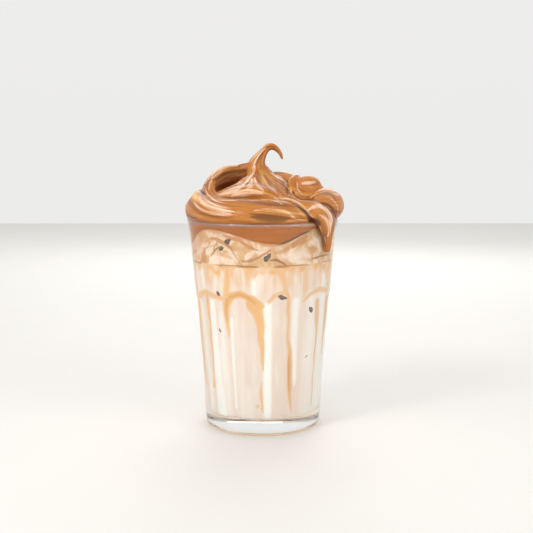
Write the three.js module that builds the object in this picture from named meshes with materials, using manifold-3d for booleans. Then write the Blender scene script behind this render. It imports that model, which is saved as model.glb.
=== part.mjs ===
// An iced latte in a fluted glass tumbler: milk, a coffee-stained layer on it, and whipped coffee that is folded
// up over the rim into a hooked peak, with one run of it down the outside of the glass.
// Millimetres, +Z up. The origin is the centre of the foot. The front is -Y and the right is +X. An azimuth is
// counted in degrees from the front towards the right, and "up" is a height above the rim.
import * as THREE from "three";
import { mergeVertices } from "three/addons/utils/BufferGeometryUtils.js";
import Module from "manifold-3d";

const wasm = await Module();
wasm.setup();

// The tumbler's driving sizes.
const HEIGHT = 122;
const RIM_RADIUS = 44;
const FOOT_RADIUS = 33.5;
const FLARE_START = 108; // height at which the wall begins to open out to the lip
const FLARE = 0.9;
const FOOT_ROUND = 2.2;
const FLOOR = 9.9; // height of the inside floor
const FLOOR_RADIUS = 30;
const FLOOR_ROUND = 2.5;
const MOUTH_RADIUS = 41.7;
const LIP_RADIUS = (RIM_RADIUS - MOUTH_RADIUS) / 2;

// The flutes: flat panels with an arched top, and rounded ridges between them.
const FLUTES = 10;
const RIDGE_AT = 1; // azimuth of one ridge
const FLUTE_DEPTH = 1.4;
const ARCH_CROWN = 83.6;
const ARCH_RISE = 10;
const FLUTE_FOOT = 5;
const FLUTE_RUNOUT = 6;

// The drink's levels, and the clearance that neighbouring solids keep.
const MILK_LEVEL = 98.5;
const GAP = 0.3;
const PLUG_SHRINK = 0.5; // the whipped coffee's own gap to the wall inside the glass

// Mesh fineness.
const GLASS_SEGMENTS = FLUTES * 8;
const DRINK_SEGMENTS = 48;

const rad = THREE.MathUtils.degToRad;

// A closed three.js geometry as a solid that can be joined and cut.
function solidOf(geometry) {
  const bare = geometry.index ? geometry.toNonIndexed() : geometry.clone();
  bare.deleteAttribute("normal");
  bare.deleteAttribute("uv");
  const merged = mergeVertices(bare, 1e-4);
  return new wasm.Manifold(
    new wasm.Mesh({
      numProp: 3,
      vertProperties: merged.attributes.position.array,
      triVerts: new Uint32Array(merged.index.array),
    }),
  );
}

// The largest piece of a solid as a three.js geometry.
function geometryOf(solid) {
  const whole = solid.decompose().reduce((a, b) => (b.volume() > a.volume() ? b : a));
  const { vertProperties, triVerts } = whole.getMesh();
  const geometry = new THREE.BufferGeometry();
  geometry.setAttribute("position", new THREE.BufferAttribute(vertProperties, 3));
  geometry.setIndex(new THREE.BufferAttribute(triVerts, 1));
  geometry.computeVertexNormals();
  return geometry;
}

// A profile of [radius, height] pairs turned round +Z, from the outside of its top to the outside of its foot or
// round again. The lathe's own axis is +Y, so it is stood up, which also puts its angle on the azimuth.
function turned(profile, segments, firstAzimuth = 0) {
  const points = profile.map(([radius, height]) => new THREE.Vector2(radius, height));
  return new THREE.LatheGeometry(points, segments, rad(firstAzimuth)).rotateX(Math.PI / 2);
}

// Points of a quarter round between two directions, from angle to angle in degrees.
function quarter(centreRadius, centreHeight, round, from, to, steps) {
  const points = [];
  for (let i = 0; i <= steps; i++) {
    const a = rad(from + ((to - from) * i) / steps);
    points.push([centreRadius + round * Math.cos(a), centreHeight + round * Math.sin(a)]);
  }
  return points;
}

// The tumbler's outside before the flutes: a straight taper, and a small flare towards the lip.
function outerRadius(height) {
  const straight = FOOT_RADIUS + ((RIM_RADIUS - FLARE - FOOT_RADIUS) * height) / HEIGHT;
  const opening = Math.max(0, (height - FLARE_START) / (HEIGHT - LIP_RADIUS - FLARE_START));
  return straight + FLARE * Math.min(1, opening) ** 2;
}

function innerRadius(height) {
  return FLOOR_RADIUS + ((MOUTH_RADIUS - FLOOR_RADIUS) * (height - FLOOR)) / (HEIGHT - FLOOR);
}

// How far a flat panel cuts below the round wall. The panel runs out in an arch at its top and above the foot.
function fluteCut(azimuth, height) {
  const pitch = 360 / FLUTES;
  const offCentre = THREE.MathUtils.euclideanModulo(azimuth - RIDGE_AT, pitch) - pitch / 2;
  const intoArch = Math.max(0, (height - (ARCH_CROWN - ARCH_RISE)) / ARCH_RISE);
  const intoFoot = Math.max(0, (FLUTE_FOOT + FLUTE_RUNOUT - height) / FLUTE_RUNOUT);
  const strength = Math.max(0, 1 - intoArch ** 2) * Math.max(0, 1 - intoFoot ** 2);
  const round = outerRadius(height);
  const flat = (round - FLUTE_DEPTH * strength) / Math.cos(rad(offCentre));
  return Math.max(0, round - flat);
}

function tumblerGeometry() {
  const arch = [0, 0.3, 0.52, 0.7, 0.85, 0.95, 1].map((part) => ARCH_CROWN - ARCH_RISE * (1 - part));
  const foot = [0, 0.25, 0.6, 1].map((part) => FLUTE_FOOT + FLUTE_RUNOUT * part);
  const flare = [ARCH_CROWN + 1.5, FLARE_START, HEIGHT - 7, HEIGHT - 3.5];
  const outside = [...foot, 42, ...arch, ...flare].map((height) => [outerRadius(height), height]);
  const lip = quarter(RIM_RADIUS - LIP_RADIUS, HEIGHT - LIP_RADIUS, LIP_RADIUS, 0, 180, 5);
  const profile = [
    [0, 0],
    ...quarter(FOOT_RADIUS - FOOT_ROUND, FOOT_ROUND, FOOT_ROUND, -90, 0, 3),
    ...outside,
    ...lip,
    ...quarter(innerRadius(FLOOR + FLOOR_ROUND) - FLOOR_ROUND, FLOOR + FLOOR_ROUND, FLOOR_ROUND, 0, -90, 2),
    [0, FLOOR],
  ];
  const geometry = turned(profile, GLASS_SEGMENTS, RIDGE_AT);
  const position = geometry.attributes.position;
  for (let i = 0; i < position.count; i++) {
    const [x, y, z] = [position.getX(i), position.getY(i), position.getZ(i)];
    const radius = Math.hypot(x, y);
    if (z <= FLUTE_FOOT || z >= ARCH_CROWN || radius < outerRadius(z) - GAP) continue;
    const azimuth = THREE.MathUtils.radToDeg(Math.atan2(x, -y));
    const kept = 1 - fluteCut(azimuth, z) / radius;
    position.setXY(i, x * kept, y * kept);
  }
  return geometryOf(solidOf(geometry));
}

// The wavy underside of the whipped coffee, where it sinks into the layer below: its height at an azimuth on the
// wall is a base level less a few rounded dips, and inwards it evens out.
const UNDERSIDE_LEVEL = 119.4;
const UNDERSIDE_CENTRE = 114;
const DIPS = [
  { at: 9, deep: 8.6, left: 34, right: 22 },
  { at: -82, deep: 12, left: 18, right: 21 },
  { at: 118, deep: 5.5, left: 26, right: 20 },
  { at: 186, deep: 7.5, left: 30, right: 26 },
  { at: -134, deep: 4.5, left: 18, right: 16 },
];

function undersideHeight(azimuth, out) {
  const atWall = DIPS.reduce((level, { at, deep, left, right }) => {
    const away = THREE.MathUtils.euclideanModulo(azimuth - at + 180, 360) - 180;
    return level - deep * Math.exp(-((away / (away < 0 ? left : right)) ** 2));
  }, UNDERSIDE_LEVEL);
  const share = Math.min(1, out / innerRadius(atWall)) ** 2;
  return UNDERSIDE_CENTRE + (atWall - UNDERSIDE_CENTRE) * share;
}

// The space under the whipped coffee, from a base up to the wavy underside less a drop. It stays clear of the wall
// by the gap, and beyond is what it is made wider by where it serves as a cutter.
function underWhipped(base, drop, beyond = 0) {
  const edge = innerRadius(UNDERSIDE_CENTRE) - GAP;
  const profile = [[0, base], [innerRadius(base) - GAP + beyond, base]];
  if (beyond > 0) profile.push([edge + beyond, UNDERSIDE_CENTRE]);
  for (const part of [1, 0.84, 0.6, 0.34, 0]) profile.push([edge * part, UNDERSIDE_CENTRE]);
  const geometry = turned(profile, DRINK_SEGMENTS);
  const position = geometry.attributes.position;
  for (let i = 0; i < position.count; i++) {
    if (Math.abs(position.getZ(i) - UNDERSIDE_CENTRE) > 1e-3) continue;
    const [x, y] = [position.getX(i), position.getY(i)];
    const height = undersideHeight(THREE.MathUtils.radToDeg(Math.atan2(x, -y)), Math.hypot(x, y)) - drop;
    const taper = innerRadius(height) / innerRadius(UNDERSIDE_CENTRE);
    position.setXYZ(i, x * taper, y * taper, height);
  }
  return solidOf(geometry);
}

function milkGeometry() {
  const base = FLOOR + GAP;
  const top = MILK_LEVEL - GAP / 2;
  const corner = innerRadius(base + FLOOR_ROUND) - GAP - FLOOR_ROUND;
  const profile = [
    [0, base],
    ...quarter(corner, base + FLOOR_ROUND, FLOOR_ROUND, -90, 0, 3),
    [innerRadius(top) - GAP, top],
    [0, top],
  ];
  return geometryOf(solidOf(turned(profile, DRINK_SEGMENTS)));
}

function stainedLayerGeometry() {
  return geometryOf(underWhipped(MILK_LEVEL + GAP / 2, GAP));
}

// A station on a fold of whipped coffee: where its middle is, its half width and half thickness, and how far its
// section leans over, in degrees.
function station(azimuth, out, up, width, thickness, lean = 0) {
  const a = rad(azimuth);
  return {
    middle: new THREE.Vector3(out * Math.sin(a), -out * Math.cos(a), HEIGHT + up),
    section: new THREE.Vector3(width, thickness, lean),
  };
}

// A fold: a sphere drawn out along a smooth curve through its stations. Across is the direction that its width
// takes, and without one the width lies level, square to the curve.
function fold(stations, around, along, across = null) {
  const curve = new THREE.CatmullRomCurve3(stations.map((s) => s.middle));
  const sections = new THREE.CatmullRomCurve3(stations.map((s) => s.section));
  const length = curve.getLength();
  const geometry = new THREE.SphereGeometry(1, around, along);
  const position = geometry.attributes.position;
  const up = new THREE.Vector3(0, 0, 1);
  for (let i = 0; i < position.count; i++) {
    const pole = THREE.MathUtils.clamp(position.getY(i), -1, 1);
    const t = (1 - pole) / 2;
    const turn = Math.atan2(position.getZ(i), position.getX(i));
    const { x: width, y: thickness, z: lean } = sections.getPoint(t);
    const tangent = curve.getTangent(t);
    const side = across
      ? across.clone().addScaledVector(tangent, -across.dot(tangent)).normalize()
      : tangent.clone().cross(up).normalize();
    const normal = side.clone().cross(tangent).normalize();
    const toEnd = Math.min(1, (Math.min(t, 1 - t) * length) / Math.max(width, thickness));
    const round = Math.sqrt(1 - (1 - toEnd) ** 2);
    const [u, v] = [width * round * Math.cos(turn), -thickness * round * Math.sin(turn)];
    const [c, s] = [Math.cos(rad(lean)), Math.sin(rad(lean))];
    const point = curve
      .getPoint(t)
      .addScaledVector(side, u * c - v * s)
      .addScaledVector(normal, u * s + v * c);
    position.setXYZ(i, point.x, point.y, point.z);
  }
  return solidOf(geometry);
}

// The thick roll that lies on the rim, from under the run on the right, round the front and the left to the back.
function frontRoll() {
  return fold(
    [
      station(58, 31, 1.5, 8, 5),
      station(40, 32, 2.6, 11, 7.4),
      station(14, 32, 3.4, 12.2, 9.2),
      station(-14, 32, 3.4, 12.6, 9.2),
      station(-42, 32, 3.6, 12.8, 9.4),
      station(-66, 32, 4.2, 12.9, 11),
      station(-90, 32, 4.6, 12.9, 13),
      station(-115, 31.6, 4.4, 12.7, 12.2),
      station(-142, 31.5, 4, 12.5, 10.5),
      station(-170, 31.5, 3.6, 12, 9),
      station(-200, 30, 2.5, 9, 6),
    ],
    14,
    40,
  );
}

// The lobe that comes round from the back and bulges out over the rim on the right.
function rightLobe() {
  return fold(
    [
      station(196, 31, 2.5, 9, 6),
      station(168, 32.5, 5, 12.3, 9.2),
      station(138, 34, 6.4, 13, 10),
      station(112, 34.8, 7, 12.9, 10.2),
      station(92, 34.9, 7.6, 12.8, 10.4),
      station(77, 34.9, 7.6, 12, 10),
      station(66, 34.4, 6, 10, 8),
    ],
    14,
    26,
  );
}

// The mass behind the front roll: it rises from the roll's back edge to the lip of the hollow.
function frontSlope() {
  return fold(
    [
      station(-76, 28, 8, 6, 6),
      station(-52, 23.5, 12, 8.5, 7.6),
      station(-22, 18, 13, 10.5, 8.6),
      station(10, 17.4, 11.4, 9.5, 7.6),
      station(36, 19, 8, 7, 5),
    ],
    12,
    14,
  );
}

// The hood over the hollow: a thin fold that leaves the front roll on the left, leans inwards as it goes round the
// back of the hollow and runs up into the neck of the peak.
function hood() {
  return fold(
    [
      station(-14, 30.5, 9.6, 3.6, 2.6),
      station(-38, 31, 10.6, 3.8, 3.4),
      station(-62, 32, 13.2, 3.8, 5, -14),
      station(-86, 31, 18.8, 3.6, 7.4, -28),
      station(-112, 27, 22.6, 3.4, 8.4, -34),
      station(-140, 20.5, 24, 3.4, 8.4, -34),
      station(-155, 13.6, 25.4, 3.6, 8, -30),
      station(-157, 5.4, 28, 3.8, 6, -20),
    ],
    12,
    30,
  );
}

// The lip in front of the hollow, which climbs along the front slope to the neck.
function frontLip() {
  return fold(
    [
      station(-72, 33, 11.8, 3.6, 3.2),
      station(-64, 27.6, 14.8, 4.6, 4),
      station(-57, 21, 16.6, 5.4, 4.2),
      station(-53, 14.6, 18.4, 5.4, 4.4),
      station(-62, 7.6, 23.6, 4.4, 4),
    ],
    12,
    14,
  );
}

// The fold behind the peak, which lies over the back of the knob and sinks into the lobe on the right.
function backFold() {
  return fold(
    [
      station(206, 9.8, 21.6, 5, 4.4),
      station(146, 10.8, 22.2, 6.4, 5),
      station(114, 15.4, 21.6, 6.6, 5.2),
      station(94, 21.6, 18.4, 6.6, 5.4),
      station(88, 29, 16.6, 6.4, 6),
      station(84, 36, 12, 5, 4.6),
    ],
    12,
    18,
  );
}

// The knob on the right: a ball, and a narrow fold that curls round its left and its underside.
const KNOB = { azimuth: 70, out: 27, up: 18.8, sideways: 7, height: 6.4 };

function knobBall() {
  const ball = new THREE.SphereGeometry(1, 14, 10);
  ball.rotateX(Math.PI / 2).scale(KNOB.sideways, KNOB.sideways, KNOB.height);
  const { x, y, z } = station(KNOB.azimuth, KNOB.out, KNOB.up, 0, 0).middle;
  return solidOf(ball.translate(x, y, z));
}

function knobCurl() {
  return fold(
    [
      station(78, 21, 24, 3, 2.6),
      station(60, 20.4, 21.4, 3.2, 3),
      station(51, 22.4, 16.8, 3.2, 3.2),
      station(55, 27.6, 13.4, 3.4, 3.2),
      station(66, 32.4, 14, 3.4, 3.2),
      station(80, 35.2, 14.8, 3, 3),
    ],
    10,
    16,
  );
}

// The peak: a cone that draws in to a neck and curls over to the right in a hook.
function peak() {
  const sideways = new THREE.Vector3(0, 1, 0);
  const at = (x, y, up, deep, wide) => ({
    middle: new THREE.Vector3(x, y, HEIGHT + up),
    section: new THREE.Vector3(deep, wide, 0),
  });
  return fold(
    [
      at(-3, -3, 5, 22, 22),
      at(-3, -3, 12, 19.5, 18.5),
      at(-0.8, -2, 17.6, 14, 14.8),
      at(-1.2, -1, 22.6, 9, 9),
      at(-2.6, 0, 27, 6.2, 7),
      at(-3.4, 0, 31, 4.9, 5.5),
      at(-2.2, 0, 35.3, 3.9, 4.1),
      at(0.4, 0, 39.4, 3.2, 2.9),
      at(3.2, 0, 41.6, 2.6, 2.3),
      at(6.3, 0, 41.5, 2.2, 1.9),
      at(9.1, 0, 39.6, 1.8, 1.5),
      at(10.7, 0, 36.7, 1.3, 1.1),
      at(11.1, 0, 33.8, 0.7, 0.7),
    ],
    14,
    40,
    sideways,
  );
}

// The run: it leaves the back of the neck, comes down the slope in front of the knob and goes over the rim and
// down the outside, where it narrows to a drop.
const RUN_AZIMUTH = 57.5;

function run() {
  const a = rad(RUN_AZIMUTH);
  const alongRim = new THREE.Vector3(Math.cos(a), Math.sin(a), 0);
  return fold(
    [
      station(150, 5, 22.6, 5, 4.4),
      station(84, 8.4, 19.6, 7, 5),
      station(48, 15.4, 14.8, 8, 5.4),
      station(43, 24, 11.4, 7.6, 5),
      station(46, 32, 9.6, 8, 5),
      station(53, 38.6, 6.4, 9.5, 4.6),
      station(55, 43, 1.6, 10.6, 3.6),
      station(55, 44.6, -3.5, 7.8, 2.6),
      station(56, 44, -9, 4.2, 2.4),
      station(RUN_AZIMUTH, 43.4, -14, 2.5, 2),
      station(RUN_AZIMUTH, 43, -17.6, 1.5, 1.4),
    ],
    12,
    34,
    alongRim,
  );
}

// The body under the folds: a low dome, and the plug of whipped coffee inside the glass.
function body() {
  const low = UNDERSIDE_LEVEL - 14;
  const plugTop = HEIGHT - LIP_RADIUS;
  const profile = [
    [0, low],
    [innerRadius(low) - PLUG_SHRINK, low],
    [innerRadius(plugTop) - PLUG_SHRINK, plugTop],
    [39.5, HEIGHT + 2],
    [36, HEIGHT + 7],
    [30, HEIGHT + 11],
    [22, HEIGHT + 14],
    [10, HEIGHT + 15.5],
    [0, HEIGHT + 16],
  ];
  return solidOf(turned(profile, DRINK_SEGMENTS));
}

// The glass wall grown by the gap, which is cut out of everything that lies on or over the rim.
function wallClearance() {
  const low = MILK_LEVEL - 5;
  const top = HEIGHT + GAP;
  const profile = [
    [innerRadius(low) - GAP, low],
    [outerRadius(low) + GAP, low],
    [outerRadius(FLARE_START) + GAP, FLARE_START],
    [outerRadius(HEIGHT - 5) + GAP, HEIGHT - 5],
    [RIM_RADIUS + GAP, HEIGHT - LIP_RADIUS],
    [RIM_RADIUS + GAP, top - 0.6],
    [RIM_RADIUS - 0.4, top],
    [MOUTH_RADIUS + 0.4, top],
    [MOUTH_RADIUS - GAP, top - 0.6],
    [innerRadius(low) - GAP, low],
  ];
  return solidOf(turned(profile, GLASS_SEGMENTS, RIDGE_AT));
}

function whippedGeometry() {
  const folds = [
    frontRoll(),
    rightLobe(),
    frontSlope(),
    hood(),
    frontLip(),
    backFold(),
    knobBall(),
    knobCurl(),
    peak(),
    run(),
  ];
  const joined = folds.reduce((whole, piece) => whole.add(piece), body());
  return geometryOf(joined.subtract(wallClearance()).subtract(underWhipped(MILK_LEVEL, 0, 1)));
}

const glassLook = new THREE.MeshStandardMaterial({
  color: 0xf2f4f4,
  roughness: 0.03,
  metalness: 0,
  transparent: true,
  opacity: 0.35,
});
const milkLook = new THREE.MeshStandardMaterial({ color: 0xf2e1d2, roughness: 0.45, metalness: 0 });
const stainedLook = new THREE.MeshStandardMaterial({ color: 0xe5c39c, roughness: 0.5, metalness: 0 });
const whippedLook = new THREE.MeshStandardMaterial({ color: 0xb87235, roughness: 0.32, metalness: 0 });

function named(name, geometry, material) {
  const mesh = new THREE.Mesh(geometry, material);
  mesh.name = name;
  return mesh;
}

const latte = new THREE.Group();
latte.add(
  named("tumbler", tumblerGeometry(), glassLook),
  named("milk", milkGeometry(), milkLook),
  named("stained_layer", stainedLayerGeometry(), stainedLook),
  named("whipped_coffee", whippedGeometry(), whippedLook),
);

export default latte;
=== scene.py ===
"""An iced latte in a clear fluted tumbler, with whipped coffee folded up over the rim into a hooked peak.

Sizes are in millimetres, as in the CAD, and every mesh is made in metres. +Z is up, the front is -Y and the
right is +X. An azimuth is counted in degrees from the front towards the right, and "up" is a height above the
rim.
"""

import logging
import math
from dataclasses import dataclass, field
from enum import Enum
from typing import Any

import bmesh
import bpy
import numpy as np
from mathutils.bvhtree import BVHTree
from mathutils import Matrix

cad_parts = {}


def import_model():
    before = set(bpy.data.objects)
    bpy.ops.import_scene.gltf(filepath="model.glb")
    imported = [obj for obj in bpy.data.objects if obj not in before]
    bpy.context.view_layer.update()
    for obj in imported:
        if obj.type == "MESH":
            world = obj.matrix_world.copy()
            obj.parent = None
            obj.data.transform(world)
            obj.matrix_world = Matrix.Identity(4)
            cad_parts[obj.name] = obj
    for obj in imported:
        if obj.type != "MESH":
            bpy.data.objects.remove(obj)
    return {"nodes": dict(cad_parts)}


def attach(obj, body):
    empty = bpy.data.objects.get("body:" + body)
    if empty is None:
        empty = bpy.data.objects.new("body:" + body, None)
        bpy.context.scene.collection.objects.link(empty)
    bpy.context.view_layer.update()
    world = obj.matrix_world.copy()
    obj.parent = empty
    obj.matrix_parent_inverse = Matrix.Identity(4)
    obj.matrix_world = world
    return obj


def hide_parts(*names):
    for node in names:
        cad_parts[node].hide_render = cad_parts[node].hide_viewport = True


frame: dict[str, Any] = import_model()

MM = 0.001
BODY = "root"

Colour = tuple[int, int, int]
Triple = tuple[float, float, float]
Quad = tuple[float, float, float, float]
Socket = bpy.types.NodeSocket

log = logging.getLogger("latte")
logging.basicConfig(level=logging.INFO, format="%(message)s")


# Small shared helpers


def tone(red: int, green: int, blue: int) -> Quad:
    """Blender's linear values, with an alpha of 1, for a colour of 0 to 255 as it shows on a screen."""
    linear = [(v / 255 / 12.92) if v < 11 else ((v / 255 + 0.055) / 1.055) ** 2.4 for v in (red, green, blue)]
    return (linear[0], linear[1], linear[2], 1.0)


def eased(low: float, high: float, value: np.ndarray) -> np.ndarray:
    """The values stepped smoothly, from 0 at low to 1 at high."""
    part = np.clip((value - low) / (high - low), 0, 1)
    return part * part * (3 - 2 * part)


def turned_by(azimuth: np.ndarray, centre: float) -> np.ndarray:
    """How far each azimuth is from a centre, in -180 to 180 degrees."""
    return (azimuth - centre + 180) % 360 - 180


def azimuth_of(points: np.ndarray) -> np.ndarray:
    """The azimuth of each point, in degrees."""
    return np.degrees(np.arctan2(points[:, 0], -points[:, 1]))


def round_axis(azimuth: np.ndarray, out: np.ndarray, height: np.ndarray) -> np.ndarray:
    """Points, in rows of three, at an azimuth in degrees, a distance from the axis and a height."""
    turn = np.radians(azimuth)
    return np.stack(np.broadcast_arrays(out * np.sin(turn), -out * np.cos(turn), height), axis=-1)


def ripple(points: np.ndarray, pitch: float, seed: int, waves: int = 9) -> np.ndarray:
    """A smooth random field of about -1 to 1.

    Args:
        points: where it is wanted, one row each.
        pitch: the mean distance between its crests.
        seed: which of the fields it is.
        waves: how many plane waves it is summed from.

    Returns:
        The field's value at each point.
    """
    rng = np.random.default_rng(seed)
    heading = rng.normal(size=(waves, 3))
    heading /= np.linalg.norm(heading, axis=1)[:, None]
    rate = 2 * math.pi / pitch * rng.uniform(0.65, 1.35, (waves, 1))
    phase = rng.uniform(0, 2 * math.pi, waves)
    return np.sin(points @ (heading * rate).T + phase).sum(axis=1) / math.sqrt(waves)


@dataclass
class Skin:
    """A mesh in the making: its points in millimetres, its faces, and a value or vector a point by name."""

    points: np.ndarray
    faces: list[tuple[int, ...]]
    marks: dict[str, np.ndarray] = field(default_factory=dict)

    def volume(self) -> float:
        """The signed volume, which is above 0 where the faces point outwards."""
        total = 0.0
        for count in (3, 4):
            some = [f for f in self.faces if len(f) == count]
            if not some:
                continue
            index = np.array(some)
            for i in range(1, count - 1):
                a, b, c = (self.points[index[:, k]] for k in (0, i, i + 1))
                total += float(np.einsum("ij,ij->i", a, np.cross(b, c)).sum()) / 6
        return total

    def outward(self) -> "Skin":
        """The same skin with its faces turned to point outwards."""
        if self.volume() < 0:
            self.faces = [tuple(reversed(f)) for f in self.faces]
        return self

    def mesh(self, name: str) -> bpy.types.Mesh:
        """The Blender mesh of the skin, in metres, with its marks as attributes."""
        mesh = bpy.data.meshes.new(name)
        mesh.from_pydata((self.points * MM).tolist(), [], self.faces)
        for mark, values in self.marks.items():
            stamp(mesh, mark, values)
        mesh.polygons.foreach_set("use_smooth", [True] * len(mesh.polygons))
        mesh.update()
        return mesh


def stamp(mesh: bpy.types.Mesh, mark: str, values: np.ndarray) -> None:
    """Writes a value or a vector a point as an attribute.

    Args:
        mesh: the mesh that gets it.
        mark: the attribute's name.
        values: one value, or one row of three, for each point.
    """
    vector = values.ndim == 2
    old = mesh.attributes.get(mark)
    if old:
        mesh.attributes.remove(old)
    layer = mesh.attributes.new(mark, "FLOAT_VECTOR" if vector else "FLOAT", "POINT")
    layer.data.foreach_set("vector" if vector else "value", values.astype(np.float32).ravel())


def points_of(mesh: bpy.types.Mesh) -> np.ndarray:
    """A mesh's points in millimetres, one row each."""
    flat = np.zeros(len(mesh.vertices) * 3, np.float32)
    mesh.vertices.foreach_get("co", flat)
    return flat.reshape(-1, 3).astype(float) / MM


def normals_of(mesh: bpy.types.Mesh) -> np.ndarray:
    """A mesh's point normals, one row each."""
    flat = np.zeros(len(mesh.vertices) * 3, np.float32)
    mesh.vertices.foreach_get("normal", flat)
    return flat.reshape(-1, 3).astype(float)


def placed(name: str, mesh: bpy.types.Mesh) -> bpy.types.Object:
    """A new object of the scene that holds a mesh."""
    piece = bpy.data.objects.new(name, mesh)
    bpy.context.scene.collection.objects.link(piece)
    return piece


def settled(piece: bpy.types.Object) -> bpy.types.Object:
    """A piece whose modifiers are applied to its mesh and then removed."""
    bpy.context.view_layer.update()
    graph = bpy.context.evaluated_depsgraph_get()
    result = bpy.data.meshes.new_from_object(piece.evaluated_get(graph))
    piece.modifiers.clear()
    old = piece.data
    piece.data = result
    bpy.data.meshes.remove(old)
    return piece


def turned(profile: np.ndarray, segments: int, first: float = 0.0) -> Skin:
    """A closed profile that starts and ends on the axis, turned round it.

    Args:
        profile: radius and height of each of its points.
        segments: how many steps the turn has.
        first: azimuth of the first step.

    Returns:
        The turned skin, with its faces outwards.
    """
    inner = profile[1:-1]
    rings = round_axis(first + np.arange(segments) * 360 / segments, inner[:, :1], inner[:, 1:])
    poles = np.array([[0, 0, profile[0][1]], [0, 0, profile[-1][1]]])
    return Skin(np.vstack([rings.reshape(-1, 3), poles]), ring_faces(len(inner), segments)).outward()


def ring_faces(rings: int, around: int) -> list[tuple[int, ...]]:
    """The faces of a tube of rings that is closed by a point at each end.

    Args:
        rings: how many rings there are.
        around: how many points each ring has.

    Returns:
        The faces. The two end points come after the rings' points.
    """
    faces: list[tuple[int, ...]] = []
    start = rings * around
    for k in range(around):
        after = (k + 1) % around
        faces.append((start, after, k))
        for i in range(rings - 1):
            low = i * around
            faces.append((low + k, low + after, low + around + after, low + around + k))
        last = (rings - 1) * around
        faces.append((start + 1, last + k, last + after))
    return faces


def ring_profile(rings: list[tuple[float, float]], step: float) -> np.ndarray:
    """A profile with points added, so that no two neighbours are further apart than a step."""
    fine = [rings[0]]
    for (r0, z0), (r1, z1) in zip(rings, rings[1:]):
        parts = max(1, math.ceil(math.hypot(r1 - r0, z1 - z0) / step))
        fine += [(r0 + (r1 - r0) * i / parts, z0 + (z1 - z0) * i / parts) for i in range(1, parts + 1)]
    return np.array(fine)


def quarter(
    radius: float, height: float, rounding: float, start: float, end: float, steps: int
) -> list[tuple[float, float]]:
    """Points of a rounded corner.

    Args:
        radius: distance of the corner's centre from the axis.
        height: height of the corner's centre.
        rounding: the corner's own radius.
        start: first direction in degrees, from outwards towards up.
        end: last direction in degrees.
        steps: how many steps it takes.

    Returns:
        Radius and height of each point.
    """
    turn = [math.radians(start + (end - start) * i / steps) for i in range(steps + 1)]
    return [(radius + rounding * math.cos(a), height + rounding * math.sin(a)) for a in turn]


# The glass's form, which what fills it follows too


@dataclass(frozen=True)
class GlassForm:
    """The tumbler's sizes, as in the CAD but for the softer run-out of its flutes at the foot."""

    height: float = 122.0
    rim_radius: float = 44.0
    foot_radius: float = 33.5
    flare_start: float = 108.0
    flare: float = 0.9
    foot_round: float = 2.2
    floor: float = 9.9
    floor_radius: float = 30.0
    floor_round: float = 2.5
    mouth_radius: float = 41.7
    lip: float = 1.15
    flutes: int = 10
    ridge_at: float = 1.0
    flute_depth: float = 1.4
    arch_crown: float = 83.6
    arch_rise: float = 10.0
    flute_foot: float = 12.5
    flute_runout: float = 24.0
    arch_trace: float = 0.75
    milk_level: float = 98.5
    pressed: float = 0.14

    def outer(self, height: np.ndarray | float) -> np.ndarray | float:
        """The outside radius at a height, without the flutes."""
        straight = self.foot_radius + (self.rim_radius - self.flare - self.foot_radius) * height / self.height
        opening = np.clip((height - self.flare_start) / (self.height - self.lip - self.flare_start), 0, 1)
        return straight + self.flare * opening**2

    def inner(self, height: np.ndarray | float) -> np.ndarray | float:
        """The inside radius at a height."""
        rise = (self.mouth_radius - self.floor_radius) / (self.height - self.floor)
        return self.floor_radius + rise * (height - self.floor)

    def arch_height(self, azimuth: np.ndarray) -> np.ndarray:
        """Height of the line that coffee leaves along the panels' arches, at each azimuth."""
        pitch = 360 / self.flutes
        off = np.abs((azimuth - self.ridge_at) % pitch - pitch / 2) / (pitch / 2)
        return self.arch_crown - self.arch_rise * (1 - np.sqrt(np.clip(1 - off**2, 0, 1))) * self.arch_trace


@dataclass(frozen=True)
class Underside:
    """The wavy underside of the whipped coffee, as in the CAD.

    Each dip has its azimuth, its depth and its width in degrees to the left and to the right.
    """

    level: float = 119.4
    centre: float = 114.0
    dips: tuple[Quad, ...] = (
        (9, 8.6, 34, 22),
        (-82, 12, 18, 21),
        (118, 5.5, 26, 20),
        (186, 7.5, 30, 26),
        (-134, 4.5, 18, 16),
    )

    def at_wall(self, azimuth: np.ndarray) -> np.ndarray:
        """Its height where it meets the glass, at each azimuth."""
        height = np.full(azimuth.shape, self.level)
        for at, deep, left, right in self.dips:
            away = turned_by(azimuth, at)
            height -= deep * np.exp(-((away / np.where(away < 0, left, right)) ** 2))
        return height

    def height(self, azimuth: np.ndarray, out: np.ndarray, form: GlassForm) -> np.ndarray:
        """Its height at each azimuth and distance from the axis."""
        wall = self.at_wall(azimuth)
        share = np.minimum(1, out / form.inner(wall)) ** 2
        return self.centre + (wall - self.centre) * share


# Node building


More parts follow.
